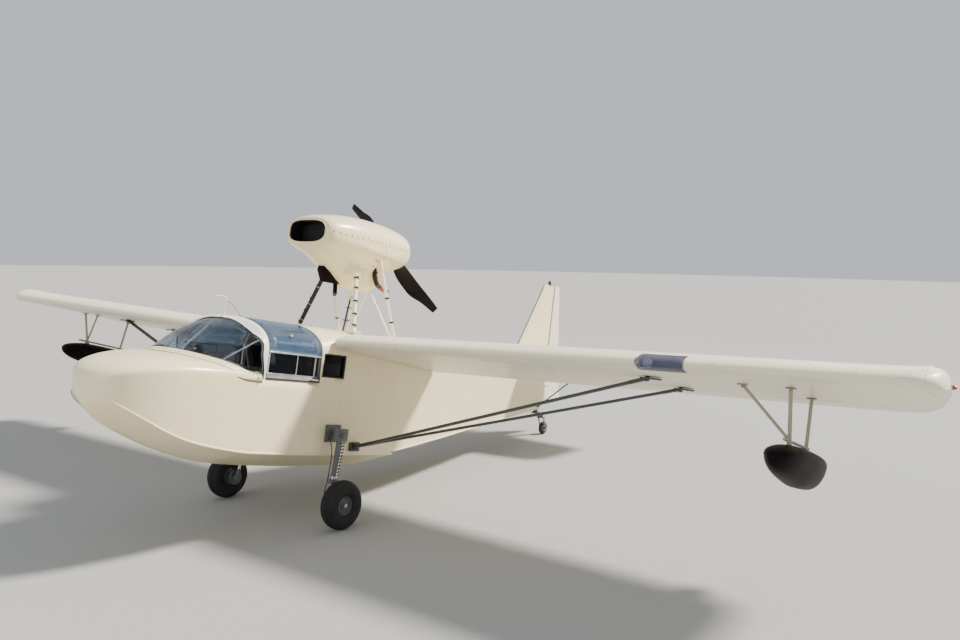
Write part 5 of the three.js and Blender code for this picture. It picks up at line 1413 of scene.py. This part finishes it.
def plane_point(u, v):
    x, nose, half, tail = through(PLANE_ROWS, v)
    rear = ELEVATOR_AXIS.y - tail - HINGE_GAP
    depth = min(0.120, 0.4 * (rear - nose))
    back = nose + depth
    k = round(u * 20)
    flat = half - (rib_sag(0.0022, x, TAIL_RIB_PITCH) if 0.05 < x < 1.3 else 0)
    a = k / 14 * math.pi
    y, z = (back - depth * math.sin(a), half * math.cos(a)) if k <= 14 else [
        (mix(back, rear, 0.5), -flat), (rear, -half * 0.85), (rear, 0), (rear, half * 0.85),
        (mix(back, rear, 0.5), flat), (back, half)][k - 15]
    return Vector((x, y, PLANE_Z + z))


def elevator_point(u, v):
    x, tail, half = table_at(ELEVATOR_ROWS, mix(ELEVATOR_ROWS[0][0], ELEVATOR_ROWS[-1][0], capped(v, 60)))
    k = round(u * 16)
    flat = half * 0.56 - (rib_sag(0.0015, x, TAIL_RIB_PITCH) if 0.3 < x < 1.4 else 0)
    middle = mix(ELEVATOR_AXIS.y, tail, 0.5)
    a = k / 12 * math.pi
    y, z = (ELEVATOR_AXIS.y - half * math.sin(a), half * math.cos(a)) if k <= 12 else [
        (middle, -flat), (tail, -0.0025), (tail, 0.0025), (middle, flat)][k - 13]
    return Vector((x, y, PLANE_Z + (0.0 if v in (0, 1) else z)))


tail_cloth = ribbed_cloth("tail cloth")
piece("tailplane_skin", [sheet(20, 84, plane_point), weld, both_sides], tail_cloth, "cloth", "tailplane",
      sharp=40)
piece("elevator_hinges", [hinge((x, ELEVATOR_AXIS.y, PLANE_Z), 0.040) for x in (-1.150, -0.450, 0.450, 1.150)],
      grey_metal, "grey_metal", sharp=40)
piece("elevator_panels", [
    sheet(16, 62, elevator_point), sheet(1, 62, lambda u, v: elevator_point(1 - u, v)), weld, both_sides,
    rod((-0.090, 0, 0), (0.090, 0, 0), 0.012, 20, at=ELEVATOR_AXIS)], tail_cloth, "cloth", "elevator", "elevator",
      sharp=40)
stay_run = (STAY_TOP - STAY_FOOT).normalized()
pair("tail_strut_tube", [
    rod(STAY_FOOT, STAY_TOP, 0.0078, 20, 1.9), rod(STAY_TOP - stay_run * 0.06, STAY_TOP, 0.0095, 20, 1.9),
    rod(STAY_FOOT, STAY_FOOT + stay_run * 0.07, 0.0095, 20, 1.9),
    box((0.735, 4.235, PLANE_Z - 0.029), (0.785, 4.285, PLANE_Z - 0.0215), 0.002),
    rod((0, -0.020, -0.004), (0, 0.020, -0.004), 0.005, 10, at=STAY_TOP)],
     strut_paint, "strut_grey", "tail_strut", sharp=40)

# Tip floats: moulded black shells, rounded on top and deeper below, with a rubbing bead along the widest line.
# Each hangs under its wing on two uprights and one slanting tube, with a rail along its top.
FLOAT_X, FLOAT_Y = 4.540, (0.262, 1.385)
FLOAT_TOP = Vector((FLOAT_X, 0.560, -0.352))
FLOAT_SLOPE = math.tan(INCIDENCE)
# share of the length, half width, top, bottom
FLOAT_ROWS = [(0.000, 0.004, -0.102, -0.108), (0.010, 0.036, -0.070, -0.134), (0.035, 0.066, -0.046, -0.160),
              (0.090, 0.098, -0.018, -0.190), (0.180, 0.122, 0.006, -0.216), (0.300, 0.138, 0.024, -0.238),
              (0.500, 0.148, 0.028, -0.262), (0.700, 0.140, 0.024, -0.258), (0.860, 0.112, 0.016, -0.216),
              (0.960, 0.066, 0.000, -0.140), (0.990, 0.034, -0.018, -0.100), (1.000, 0.004, -0.050, -0.060)]


def float_point(u, v):
    f, half, top, bottom = through(FLOAT_ROWS, v)
    y = mix(*FLOAT_Y, f)
    middle = top - 0.32 * (top - bottom)
    across, up = math.cos(u * math.tau), math.sin(u * math.tau)
    reach, power = (top - middle, 2.6) if up > 0 else (middle - bottom, 1.7)
    return Vector((FLOAT_X + half * math.copysign(abs(across) ** (2 / 2.3), across), y,
                   FLOAT_TOP.z - 0.030 + (FLOAT_TOP.y - y) * FLOAT_SLOPE + middle
                   + math.copysign(reach * abs(up) ** (2 / power), up)))


def rubbing_bead(side):
    """A round bead along the widest line of the shell."""
    return sheet(6, 50, lambda u, v: float_point(0.0 if side > 0 else 0.5, mix(0.06, 0.95, v)) + Vector((
        side * 0.004 * math.sin(u * math.tau), 0, 0.005 * math.cos(u * math.tau))))


FRONT_FOOT = Vector((FLOAT_X + 0.004, 0.585, FLOAT_TOP.z + 0.020))
REAR_FOOT = Vector((FLOAT_X - 0.008, 1.060, FLOAT_TOP.z + 0.022 - 0.500 * FLOAT_SLOPE))
# foot, place under the wing, radius
FLOAT_STAYS = [(FRONT_FOOT, (FLOAT_X, SPAR_Y[0] + 0.045), 0.0145),
               (FRONT_FOOT, (FLOAT_X - 0.335, SPAR_Y[0] + 0.020), 0.0115),
               (REAR_FOOT, (FLOAT_X - 0.020, SPAR_Y[1]), 0.0140)]


def float_stay(foot, head, radius):
    at = under_wing(*head, 0.002)
    return [rod(foot, under_wing(*head, 0.003), radius, 18),
            box((-0.034, -0.030, -0.006), (0.034, 0.030, 0.001), 0.002, at=at),
            rod((0, -0.022, -0.018), (0, 0.022, -0.018), 0.006, 12, at=at)]


float_black = weathered("float gelcoat", (0.004, 0.002, 0.0035), (0.022, 0.016, 0.015), 0.14, 0.42, scale=2.5,
                        Specular_IOR_Level=0.08)
stay_paint = weathered("stay enamel", (0.34, 0.325, 0.24), (0.16, 0.13, 0.09), 0.45, 0.42, scale=3.5)
pair("float_shell", [sheet(48, 60, float_point), rubbing_bead(1), rubbing_bead(-1)], float_black, "float_black",
     "float", sharp=60)
pair("float_stays", [
    [float_stay(*row) for row in FLOAT_STAYS],
    rod((FLOAT_X, 0.470, FRONT_FOOT.z + 0.090 * FLOAT_SLOPE),
        (FLOAT_X - 0.008, 1.120, REAR_FOOT.z - 0.060 * FLOAT_SLOPE), 0.0115, 18),
    [rod((0, 0, -0.034), (0, 0, 0), 0.020, 20, length / 0.020, 0.014, at)
     for at, length in ((FRONT_FOOT, 0.035), (REAR_FOOT, 0.030))]], stay_paint, "strut_grey", "float_struts",
     sharp=40)

# Engine pod: a moulded cream cowl of two halves screwed together, with a lipped intake in its nose, a dark
# duct behind it and a flat rear round the propeller shaft.
# y, half width, top, waist, side's lower edge, belly
POD_ROWS = [
    (0.000, 0.262, 1.146, 1.034, 0.922, 0.922), (0.008, 0.292, 1.166, 1.032, 0.898, 0.896),
    (0.040, 0.322, 1.190, 1.030, 0.866, 0.840), (0.110, 0.350, 1.214, 1.026, 0.840, 0.795),
    (0.220, 0.374, 1.238, 1.022, 0.818, 0.740), (0.330, 0.390, 1.254, 1.020, 0.806, 0.680),
    (0.440, 0.398, 1.264, 1.018, 0.802, 0.606), (0.540, 0.400, 1.270, 1.016, 0.798, 0.562),
    (0.680, 0.400, 1.272, 1.014, 0.794, 0.546), (0.820, 0.396, 1.268, 1.012, 0.792, 0.552),
    (0.905, 0.390, 1.262, 1.012, 0.792, 0.590), (0.945, 0.386, 1.258, 1.012, 0.794, 0.700),
    (0.975, 0.383, 1.254, 1.012, 0.796, 0.792), (1.070, 0.368, 1.236, 1.014, 0.812, 0.812),
    (1.130, 0.345, 1.212, 1.016, 0.836, 0.836), (1.158, 0.310, 1.184, 1.018, 0.866, 0.866),
    (1.1655, 0.270, 1.150, 1.018, 0.900, 0.900),
]
# inset, y, squareness of the mouth, from the front edge round the lip and back along the duct
LIP_ROWS = [(0.0, 0.0, 0.80), (0.003, -0.0055, 0.76), (0.009, -0.009, 0.70), (0.015, -0.0055, 0.64),
            (0.018, 0.004, 0.60), (0.020, 0.160, 0.60)]
# the chin swells round the head of each front tube: x and y of the swelling
SWELLING_X, SWELLING_Y = 0.228, 0.500
WAIST_SOFT, TOP_SHARE = 10, 0.4


def pod_width(row, z):
    """Half width of the pod at height z: a rounded lobe above a chin that flares up into it."""
    y, half, top, waist, lobe, belly = row
    if z >= waist:
        return half * max(1 - ((z - waist) / (top - waist)) ** 2.5, 0) ** 0.4
    rise = max(z - belly, 0)
    share = (waist - z) / (waist - lobe)
    upper = half * max(1 - share**2.5, 0) ** 0.4 if share < 1 else 0
    if belly > lobe - 0.004:
        return upper
    flare = min(0.118 * math.sqrt(1 - (1 - min(1, rise / 0.060)) ** 2) + 0.62 * rise, half)
    near = max(1 - ((y - SWELLING_Y) / 0.105) ** 2, 0) ** 0.5
    near *= smoothstep(0.655, 0.675, z) * (1 - smoothstep(0.74, 0.86, z))
    flare = max(flare, mix(flare, SWELLING_X + 0.026, near))
    return min((upper**WAIST_SOFT + flare**WAIST_SOFT) ** (1 / WAIST_SOFT), half)


def lobe_point(u, y, half, waist, up, down, square):
    """A point of a closed lobe: u runs from its top down the port side to its foot."""
    above = u < TOP_SHARE
    a = (1 - u / TOP_SHARE if above else (u - TOP_SHARE) / (1 - TOP_SHARE)) * math.pi / 2
    rise = (up if above else -down) * math.sin(a) ** square
    return Vector((half * max(math.cos(a), 0) ** square, y, waist + rise))


def pod_point(u, v):
    """u runs from the top of the pod down its port side to the keel."""
    row = through(POD_ROWS, v)
    y, half, top, waist, lobe, belly = row
    if u < TOP_SHARE or belly > lobe - 0.004:
        return lobe_point(u, y, half, waist, top - waist, waist - lobe, 0.8)
    z = mix(waist, min(lobe, belly), min((u - TOP_SHARE) / (1 - TOP_SHARE), 1))
    return Vector((pod_width(row, z) if u < 1 else 0, y, z))


def intake_point(u, k):
    """The lip rolls in from the front edge to a squarer mouth, and the duct runs back inside."""
    _, half, top, waist, _, _ = POD_ROWS[0]
    inset, y, square = LIP_ROWS[k]
    rise = top - waist - 0.4 * inset
    return lobe_point(u, y, half - inset, waist, rise, rise, square)


def duct_point(u, v):
    return intake_point(u, 4 + round(v * 2)) if v < 1 else Vector((0, LIP_ROWS[-1][1], POD_ROWS[0][3]))


def pod_skin_at(y, z, out=0.0):
    row = through(POD_ROWS, sum(row_before(POD_ROWS, y)) / (len(POD_ROWS) - 1))
    return Vector((pod_width(row, z) + out, y, z))


def joint_lap_point(u, v):
    """The upper half laps over the lower one."""
    return pod_skin_at(mix(0.014, 1.128, v), 1.020 + pick((0.0, 0.0, 0.0050, 0.0050), u),
                       pick((-0.002, 0.0022, 0.0022, -0.002), u))


def pod_screw(y, z):
    return screw(pod_skin_at(y, z, 0.0008), Vector((1, 0, 0)), 0.0085)


pod_paint = weathered("pod gelcoat", CREAM, (0.35, 0.28, 0.16), 0.20, 0.22, scale=1.4, Coat_Weight=0.3)
duct_black, _ = material_of("duct black", Base_Color=(0.010, 0.008, 0.009), Roughness=0.55)
piece("pod_cowl", [
    sheet(56, 96, pod_point), sheet(56, 4, lambda u, v: intake_point(u, round(v * 4))),
    sheet(56, 1, lambda u, v: Vector((0, POD_ROWS[-1][0], POD_ROWS[-1][3])) if v else pod_point(u, 1)),
    rod((0.3572, 0.7290, 0.764), (0.346, 0.690, 0.862), 0.0175, 24, end_radius=0.027),
    rod((0.346, 0.690, 0.861), (0.326, 0.660, 0.940), 0.027, 24, end_radius=0.016), both_sides],
      pod_paint, "hull_paint", "engine_pod", sharp=40)
piece("pod_duct", [
    sheet(56, 2, duct_point), both_sides,
    [rod((-0.225, 0.150, z), (0.225, 0.150, z), 0.0045, 8) for z in [0.950 + k * 0.021 for k in range(9)]],
    [rod((x, 0.156, 0.935), (x, 0.156, 1.13), 0.002, 6) for x in [-0.21 + k * 0.03 for k in range(15)]]],
      duct_black, "float_black", sharp=40)
piece("pod_joint_lap", [sheet(3, 90, joint_lap_point), both_sides], pod_paint, "hull_paint", sharp=60)
piece("pod_screws", [
    [pod_screw(0.040 + i * 0.0655, 1.036) for i in range(17)],
    [pod_screw(0.706 - max(0, i - 3) * 0.045, 1.000 - i * 0.047) for i in range(6)],
    rod(pod_skin_at(0.640, 0.866, -0.004), pod_skin_at(0.640, 0.866, 0.0012), 0.012), both_sides],
      dark_iron, "grey_metal", sharp=50)

# Engine: a flat four, closed inside the pod, so one plain crankcase with its finned cylinders and the shaft
# that carries the propeller.
CYLINDERS = [(0, y, 1.022) for y in (0.580, 0.820)]
piece("engine_case", [
    [rod((0.10, 0, 0), (0.345, 0, 0), 0.046, 20, at=at) for at in CYLINDERS],
    [rod((x, 0, 0), (x + 0.004, 0, 0), 0.061, 20, at=at) for at in CYLINDERS
     for x in [0.140 + k * 0.017 for k in range(12)]], both_sides,
    box((-0.120, 0.420, 0.900), (0.120, 0.960, 1.115), 0.020),
    box((-0.200, 0.400, 0.884), (0.200, 0.520, 0.960), 0.010),
    rod((0, 0.900, 1.008), (0, 1.186, 1.008), 0.047, 28), rod((0, 1.160, 1.008), (0, 1.172, 1.008), 0.066, 28)],
      grey_metal, "iron", "engine", sharp=40)

# Mount tubes: the pod stands on two front tubes and two raked rear tubes of white enamelled steel, on fittings
# at the deck, with black ties. Black tape is wound round one front tube, and a brace of two thinner tubes meets
# at the chin.
FRONT_TUBE = (Vector((0.390, 0.400, 0.125)), Vector((0.232, 0.507, 0.660)))
REAR_TUBE = (Vector((0.390, 0.973, 0.157)), Vector((0.360, 0.749, 0.714)))
APEX, BRACE_FOOT = Vector((0, 0.944, 0.592)), Vector((0.363, 1.052, 0.020))
# share of the way up, length of the bright bands over the tape
BANDS = [(0.13, 0.008), (0.44, 0.008), (0.78, 0.010)]


def tube(ends, start, stop, radius, end_radius=None):
    """A length of a mount tube, between two heights over its foot."""
    foot, top = ends
    along = (top - foot) / (top.z - foot.z)
    return rod(foot + along * start, foot + along * stop, radius, 24, end_radius=end_radius)


def collar(ends, share, length, radius, segments=22, end_radius=None):
    foot, top = ends
    at = foot.lerp(top, share)
    return rod(at, at + (top - foot).normalized() * length, radius, segments, end_radius=end_radius)


def tie(ends, share, radius):
    """A plastic tie round the tube, with its lock on the outer side."""
    return [collar(ends, share, 0.017, radius, 20),
            box((radius - 0.004, -0.008, 0.000), (radius + 0.009, 0.006, 0.018), 0.002,
                at=ends[0].lerp(ends[1], share))]


tube_white = weathered("tube enamel", (0.88, 0.84, 0.70), (0.30, 0.22, 0.14), 0.34, 0.26, scale=3.0,
                       Coat_Weight=0.2)
tape = weathered("black tape", (0.010, 0.008, 0.008), (0.07, 0.06, 0.05), 0.20, 0.50, scale=5.0)
pair("front_mount_tube", [
    tube(FRONT_TUBE, -0.004, 0.753, 0.0198), tube(FRONT_TUBE, 0.003, 0.030, 0.0265, 0.0215),
    box((-0.055, -0.060, -0.006), (0.048, 0.060, 0.006), 0.003, at=FRONT_TUBE[0]),
    bolts((0, 0, 0.005), (0, 0, 0.012), [(x, y, 0) for x in (-0.042, 0.036) for y in (-0.045, 0.045)],
          at=FRONT_TUBE[0])], tube_white, "white_tube", "mount_tube_front", sharp=40)
pair("rear_mount_tube", [
    tube(REAR_TUBE, -0.040, 0.643, 0.0168), tube(REAR_TUBE, -0.035, 0.012, 0.0225, 0.0185),
    box((-0.050, -0.055, -0.052), (0.045, 0.055, -0.040), 0.003, at=REAR_TUBE[0])],
     tube_white, "white_tube", "mount_tube_rear", sharp=40)
pair("mount_tube_ties", [
    [tie(FRONT_TUBE, share, 0.0216) for share in (0.10, 0.31, 0.55, 0.80)],
    [tie(REAR_TUBE, share, 0.0184) for share in (0.20, 0.62)], collar(FRONT_TUBE, 0.985, 0.024, 0.0275, 24)],
     rubber_seal, "float_black", sharp=40)
piece("front_tube_tape", [
    collar(FRONT_TUBE, 0.06 + k * 0.0335, 0.0205, 0.0218 + 0.0004 * (k % 3), end_radius=0.0212)
    for k in range(27)], tape, "float_black", side=-1, sharp=40)
piece("front_tube_bands", [collar(FRONT_TUBE, share, length, 0.0226) for share, length in BANDS], stay_paint,
      "strut_grey", side=-1, sharp=40)
brace_run = (APEX - BRACE_FOOT).normalized()
piece("mount_brace_vee", [
    rod(BRACE_FOOT, APEX + Vector((0.012, 0, 0)), 0.0128, 20),
    rod(BRACE_FOOT + brace_run * 0.055, BRACE_FOOT + brace_run * 0.105, 0.0165, 20, end_radius=0.0135),
    both_sides,
    box((-0.038, 0.888, 0.568), (0.038, 0.957, 0.638), 0.004),
    bolts((-0.0385, 0, 0), (0.0385, 0, 0), [(0, 0.905, 0.603), (0, 0.940, 0.603)], 0.007)],
      tube_white, "white_tube", "mount_brace", sharp=40)

# Control conduit: a white tube from the deck up into the chin, in a small foot, with a black fuel hose
# beside it that is tied to it at three heights.
HOSE = [(0.010, 0.633, 0.105), (0.016, 0.640, 0.190), (0.012, 0.662, 0.330), (0.006, 0.688, 0.450),
        (0.000, 0.704, 0.545), (0.000, 0.706, 0.600)]
piece("control_conduit_tube", [rod((0, 0.695, 0.060), (0, 0.702, 0.880), 0.0168, 24),
                               rod((0, 0.695, 0.118), (0, 0.695, 0.140), 0.028, 24, end_radius=0.020)],
      tube_white, "white_tube", "mount_conduit", sharp=40)
piece("fuel_hose", [pipe(HOSE, 0.0085, 60, 12), [
    box((-0.019, 0.628 + (z - 0.19) * 0.19, z), (0.024, 0.716, z + 0.007), 0.002) for z in (0.24, 0.37, 0.48)]],
      rubber_seal, "float_black", sharp=60)

# Exhaust: on each side a black pipe hooks out of the chin, down and back, and opens at a rusty end. Two
# clamps hold it to the pod.
EXHAUST = [(0.250, y, z) for y, z in ((0.676, 0.966), (0.688, 0.880), (0.728, 0.790), (0.747, 0.718),
                                      (0.795, 0.640), (0.880, 0.605), (0.960, 0.592))]
EXHAUST_RADIUS, EXHAUST_BORE = 0.0243, 0.0205


def rusted():
    """Black steel that rusts toward the end of the pipe."""
    made, look = material_of("exhaust steel", Metallic=0.5)
    down = look.add("SeparateXYZ", {0: look.place("UV")}, "Y")
    spots = look.noise(38.0, 5.0)
    rust = look.ramp(look.maths("MULTIPLY_ADD", spots, 0.5, down), 0.92, 1.0)
    look.shade(Base_Color=look.blend(rust, (0.020, 0.018, 0.017), (0.24, 0.105, 0.060)),
               Roughness=look.maths("MULTIPLY_ADD", spots, 0.35, 0.45), Normal=look.bump(spots, 0.0008))
    return made


def mouth_point(u, v):
    """The pipe's end is open: over its edge, into the bore and across it."""
    radius, back = pick([(EXHAUST_RADIUS, 0), (EXHAUST_BORE, 0), (EXHAUST_BORE, -0.060), (0.0, -0.060)], v)
    at, side, a = curve_point(EXHAUST, 1.0), Vector((1, 0, 0)), u * math.tau
    front = (at - curve_point(EXHAUST, 0.985)).normalized()
    return at + front * back + (side * math.cos(a) + front.cross(side) * math.sin(a)) * radius


def clamp(t):
    at = curve_point(EXHAUST, t)
    return [rod(at, curve_point(EXHAUST, t + 0.012), 0.0285, 24),
            box((0.022, -0.008, -0.006), (0.044, 0.008, 0.008), 0.002, at=at)]


pair("exhaust_pipe", [pipe(EXHAUST, EXHAUST_RADIUS, 72, 24, closed_ends=False), sheet(24, 3, mouth_point),
                      clamp(0.20), clamp(0.42)], rusted(), "rust", "exhaust", sharp=50)

# Air box: a flat black box with rounded edges under the front of the pod's chin, screwed on at both sides,
# with a short stub that points down.
BOX_HALF = 0.0415
BOX_SIDE = [(0.222, 0.694), (0.238, 0.748), (0.330, 0.766), (0.580, 0.640), (0.515, 0.593), (0.460, 0.586),
            (0.282, 0.583)]


def draw_air_box(bm):
    face = bm.faces.new([bm.verts.new((-BOX_HALF, y, z)) for y, z in BOX_SIDE])
    deep = bmesh.ops.extrude_face_region(bm, geom=[face])["geom"]
    moved = [v for v in deep if isinstance(v, bmesh.types.BMVert)]
    bmesh.ops.translate(bm, vec=(2 * BOX_HALF, 0, 0), verts=moved)
    bmesh.ops.bevel(bm, geom=bm.edges[:], offset=0.011, offset_type="OFFSET", segments=4, profile=0.5,
                    affect="EDGES", material=-1)


piece("air_outlet_scoop", [draw_air_box, rod((0, 0.455, 0.620), (0, 0.470, 0.488), 0.0215, 24)], float_black,
      "prop_black", "air_outlet", sharp=40)
piece("air_outlet_fittings", [
    [screw(Vector((BOX_HALF, y, z)), Vector((1, 0, 0)), 0.005) for y, z in ((0.262, 0.725), (0.330, 0.730),
                                                                            (0.430, 0.680))],
    both_sides, rod((0, 0.469, 0.496), (0, 0.4705, 0.484), 0.024, 24)], dark_iron, "float_black", sharp=50)

# Propeller: two laminated blades in black lacquer with a bright strip along the outer part of each leading
# edge, on a turned hub with six bolts.
SHAFT = Vector((0, 1.242, 1.008))
BLADE_PLACE = Matrix.Translation(SHAFT) @ Matrix.Rotation(math.radians(-141), 4, "Y")
# radius, chord, shift, thickness, pitch in degrees
BLADE_ROWS = [
    (0.030, 0.066, 0.000, 0.046, 60), (0.090, 0.096, -0.008, 0.042, 54), (0.175, 0.136, -0.024, 0.034, 45),
    (0.330, 0.158, -0.039, 0.024, 34), (0.500, 0.156, -0.042, 0.016, 26), (0.700, 0.106, -0.016, 0.010, 19),
    (0.840, 0.078, -0.004, 0.0072, 15), (0.874, 0.070, -0.002, 0.0058, 14), (0.8797, 0.060, 0.000, 0.0040, 14),
]
HUB_BOLTS = [(0.053 * math.cos(k * math.pi / 3), 0.0455, 0.053 * math.sin(k * math.pi / 3)) for k in range(6)]


def blade_point(u, v, lift=0.0):
    radius, chord, shift, thick, pitch = through(BLADE_ROWS, v)
    a, p = u * math.tau, math.radians(pitch)
    across = shift + chord / 2 * math.cos(a)
    out = (thick / 2 + lift) * math.sin(a) * (1 - 0.25 * math.cos(a))
    return Vector((radius, across * math.sin(p) + out * math.cos(p), across * math.cos(p) - out * math.sin(p)))


def tip_point(u, v):
    return blade_point(u, 1).lerp(blade_point(0.25, 1).lerp(blade_point(0.75, 1), 0.5), v)


def edge_strip_point(u, v):
    return blade_point(0.5 + (u - 0.5) * 0.09, mix(0.58, 0.93, v), 0.0006) + Vector((0, 0, -0.0010))


def on_both_blades(shapes):
    return placed(BLADE_PLACE, [shapes, placed(Matrix.Rotation(math.pi, 4, "Y"), shapes)])


prop_black = weathered("propeller lacquer", (0.010, 0.007, 0.008), (0.05, 0.042, 0.038), 0.14, 0.42, scale=4.0,
                       Specular_IOR_Level=0.12)
piece("propeller_blades", [on_both_blades([sheet(36, 80, blade_point), sheet(36, 1, tip_point)]),
                           rod((0, 1.1875, SHAFT.z), (0, 1.2820, SHAFT.z), 0.0715, 40)], prop_black, "prop_black",
      "propeller", "propeller", sharp=40)
piece("propeller_hub_plate", [
    rod((0, 1.2815, SHAFT.z), (0, 1.2880, SHAFT.z), 0.069, 40),
    rod((0, 1.2875, SHAFT.z), (0, 1.3010, SHAFT.z), 0.036, 32, end_radius=0.030),
    bolts((0, 0, 0), (0, 0.007, 0), HUB_BOLTS, 0.0085, SHAFT),
    [rod((0, 0, 0), (0, 0.012, 0), 0.0045, 12, at=SHAFT + Vector(at)) for at in HUB_BOLTS]],
      bright_metal, "bare_metal", body="propeller", sharp=40)
piece("propeller_edge_strips", on_both_blades(sheet(6, 24, edge_strip_point)), bright_metal, "bare_metal",
      body="propeller", sharp=60, wall=0.0006)

# Beacon: a dark red glass dome on the head of the fin. A turned metal base with a low rim holds it, screwed
# to the fin's top.
BEACON_AT = Matrix.Translation((0, 4.478, 1.1683))
DOME_PROFILE = [(0.0, 0.012), (0.0235, 0.012), (0.0245, 0.018), (0.0225, 0.044), (0.0165, 0.057),
                (0.0090, 0.0635), (0.0, 0.0655)]
BASE_PROFILE = [(0.0, -0.001), (0.0275, -0.001), (0.0275, 0.010), (0.0255, 0.0145), (0.0, 0.0145)]
piece("beacon_dome", turned(DOME_PROFILE, BEACON_AT, 32), lamp_glass_of("beacon glass", (0.20, 0.020, 0.020)),
      "red_lamp", "beacon", sharp=60)
piece("beacon_base", turned(BASE_PROFILE, BEACON_AT, 32), grey_metal, "grey_metal", sharp=40)

# Pitot mast: a short tube on the bow of the windscreen with a probe pointing forward, and a thin wire aerial
# that falls from it to the roof beam.
MAST_FOOT, PROBE = Vector((0, -0.832, 0.104)), Vector((0, -0.832, 0.276))
WHIP = [(0, -0.820, 0.240), (0, -0.775, 0.226), (0, -0.710, 0.185), (0, -0.650, 0.126)]
piece("pitot_mast_tube", [
    rod(MAST_FOOT - Vector((0, 0, 0.002)), PROBE, 0.0040), rod((0, 0.008, 0), (0, -0.118, 0), 0.0048, at=PROBE),
    rod((0, -0.075, 0), (0, -0.119, 0), 0.0048, end_radius=0.0035, at=PROBE),
    box((-0.016, -0.022, -0.003), (0.016, 0.022, 0.004), 0.0015, at=MAST_FOOT)], frame_white, "bare_metal",
      "pitot_mast", sharp=40)
piece("wire_aerial", [pipe(WHIP, 0.0018, 30, 8), rod((0, -0.650, 0.121), (0, -0.650, 0.132), 0.008,
                                                    end_radius=0.004)], rubber_seal, "float_black", sharp=60)


# Stage: a plain pale floor under the wheels, low sun through haze, a broad fill, a rim light and a pale
# surround, and the camera at the photograph's place and angle.
def stand(name, data, matrix=Matrix()):
    """Puts a light, a camera or a mesh into the scene."""
    made = bpy.data.objects.new(name, data)
    made.matrix_world = matrix
    bpy.context.scene.collection.objects.link(made)
    return made


def area_light(name, place, target, size, power, tint):
    lamp = bpy.data.lights.new(name, "AREA")
    lamp.shape = "RECTANGLE"
    lamp.size, lamp.size_y = size
    lamp.energy, lamp.color = power, tint
    aim = (Vector(target) - Vector(place)).to_track_quat("-Z", "Y").to_matrix().to_4x4()
    stand(name, lamp, Matrix.Translation(place) @ aim)


floor_finish, _ = material_of("floor", Base_Color=(0.36, 0.36, 0.355), Roughness=0.9)
bm = bmesh.new()
bmesh.ops.create_circle(bm, cap_ends=True, radius=90, segments=96)
ground = bpy.data.meshes.new("floor")
bm.to_mesh(ground)
bm.free()
ground.materials.append(floor_finish)
stand("floor", ground)
sun = bpy.data.lights.new("key", "SUN")
sun.energy, sun.angle, sun.color = 9.3, math.radians(9), (1.0, 0.95, 0.85)
stand("key", sun, Vector((7.0, 7.4, 10.0)).to_track_quat("Z", "Y").to_matrix().to_4x4())
area_light("fill", (-3.0, -13.0, 5.0), (0, 0.5, 1.0), (9, 6), 420, (0.93, 0.96, 1.0))
area_light("rim", (3.0, 13.0, 8.0), (0, 1.5, 1.4), (9, 4), 300, (1.0, 0.98, 0.95))
world = bpy.data.worlds.new("surround")
bpy.context.scene.world = world
world.use_nodes = True
surround = world.node_tree.nodes["Background"].inputs
surround["Color"].default_value, surround["Strength"].default_value = (0.84, 0.88, 0.94, 1), 0.74
eye = bpy.data.cameras.new("eye")
eye.sensor_width, eye.lens, eye.clip_end = 36, 33.102, 400
RIGHT, UP, BACK = (0.80570, 0.59205, 0.01789), (-0.06283, 0.05539, 0.99649), (0.58898, -0.80399, 0.08183)
bpy.context.scene.camera = stand("eye", eye, Matrix.Translation((6.3932, -7.0979, 2.5552))
                                 @ Matrix((RIGHT, UP, BACK)).transposed().to_4x4())
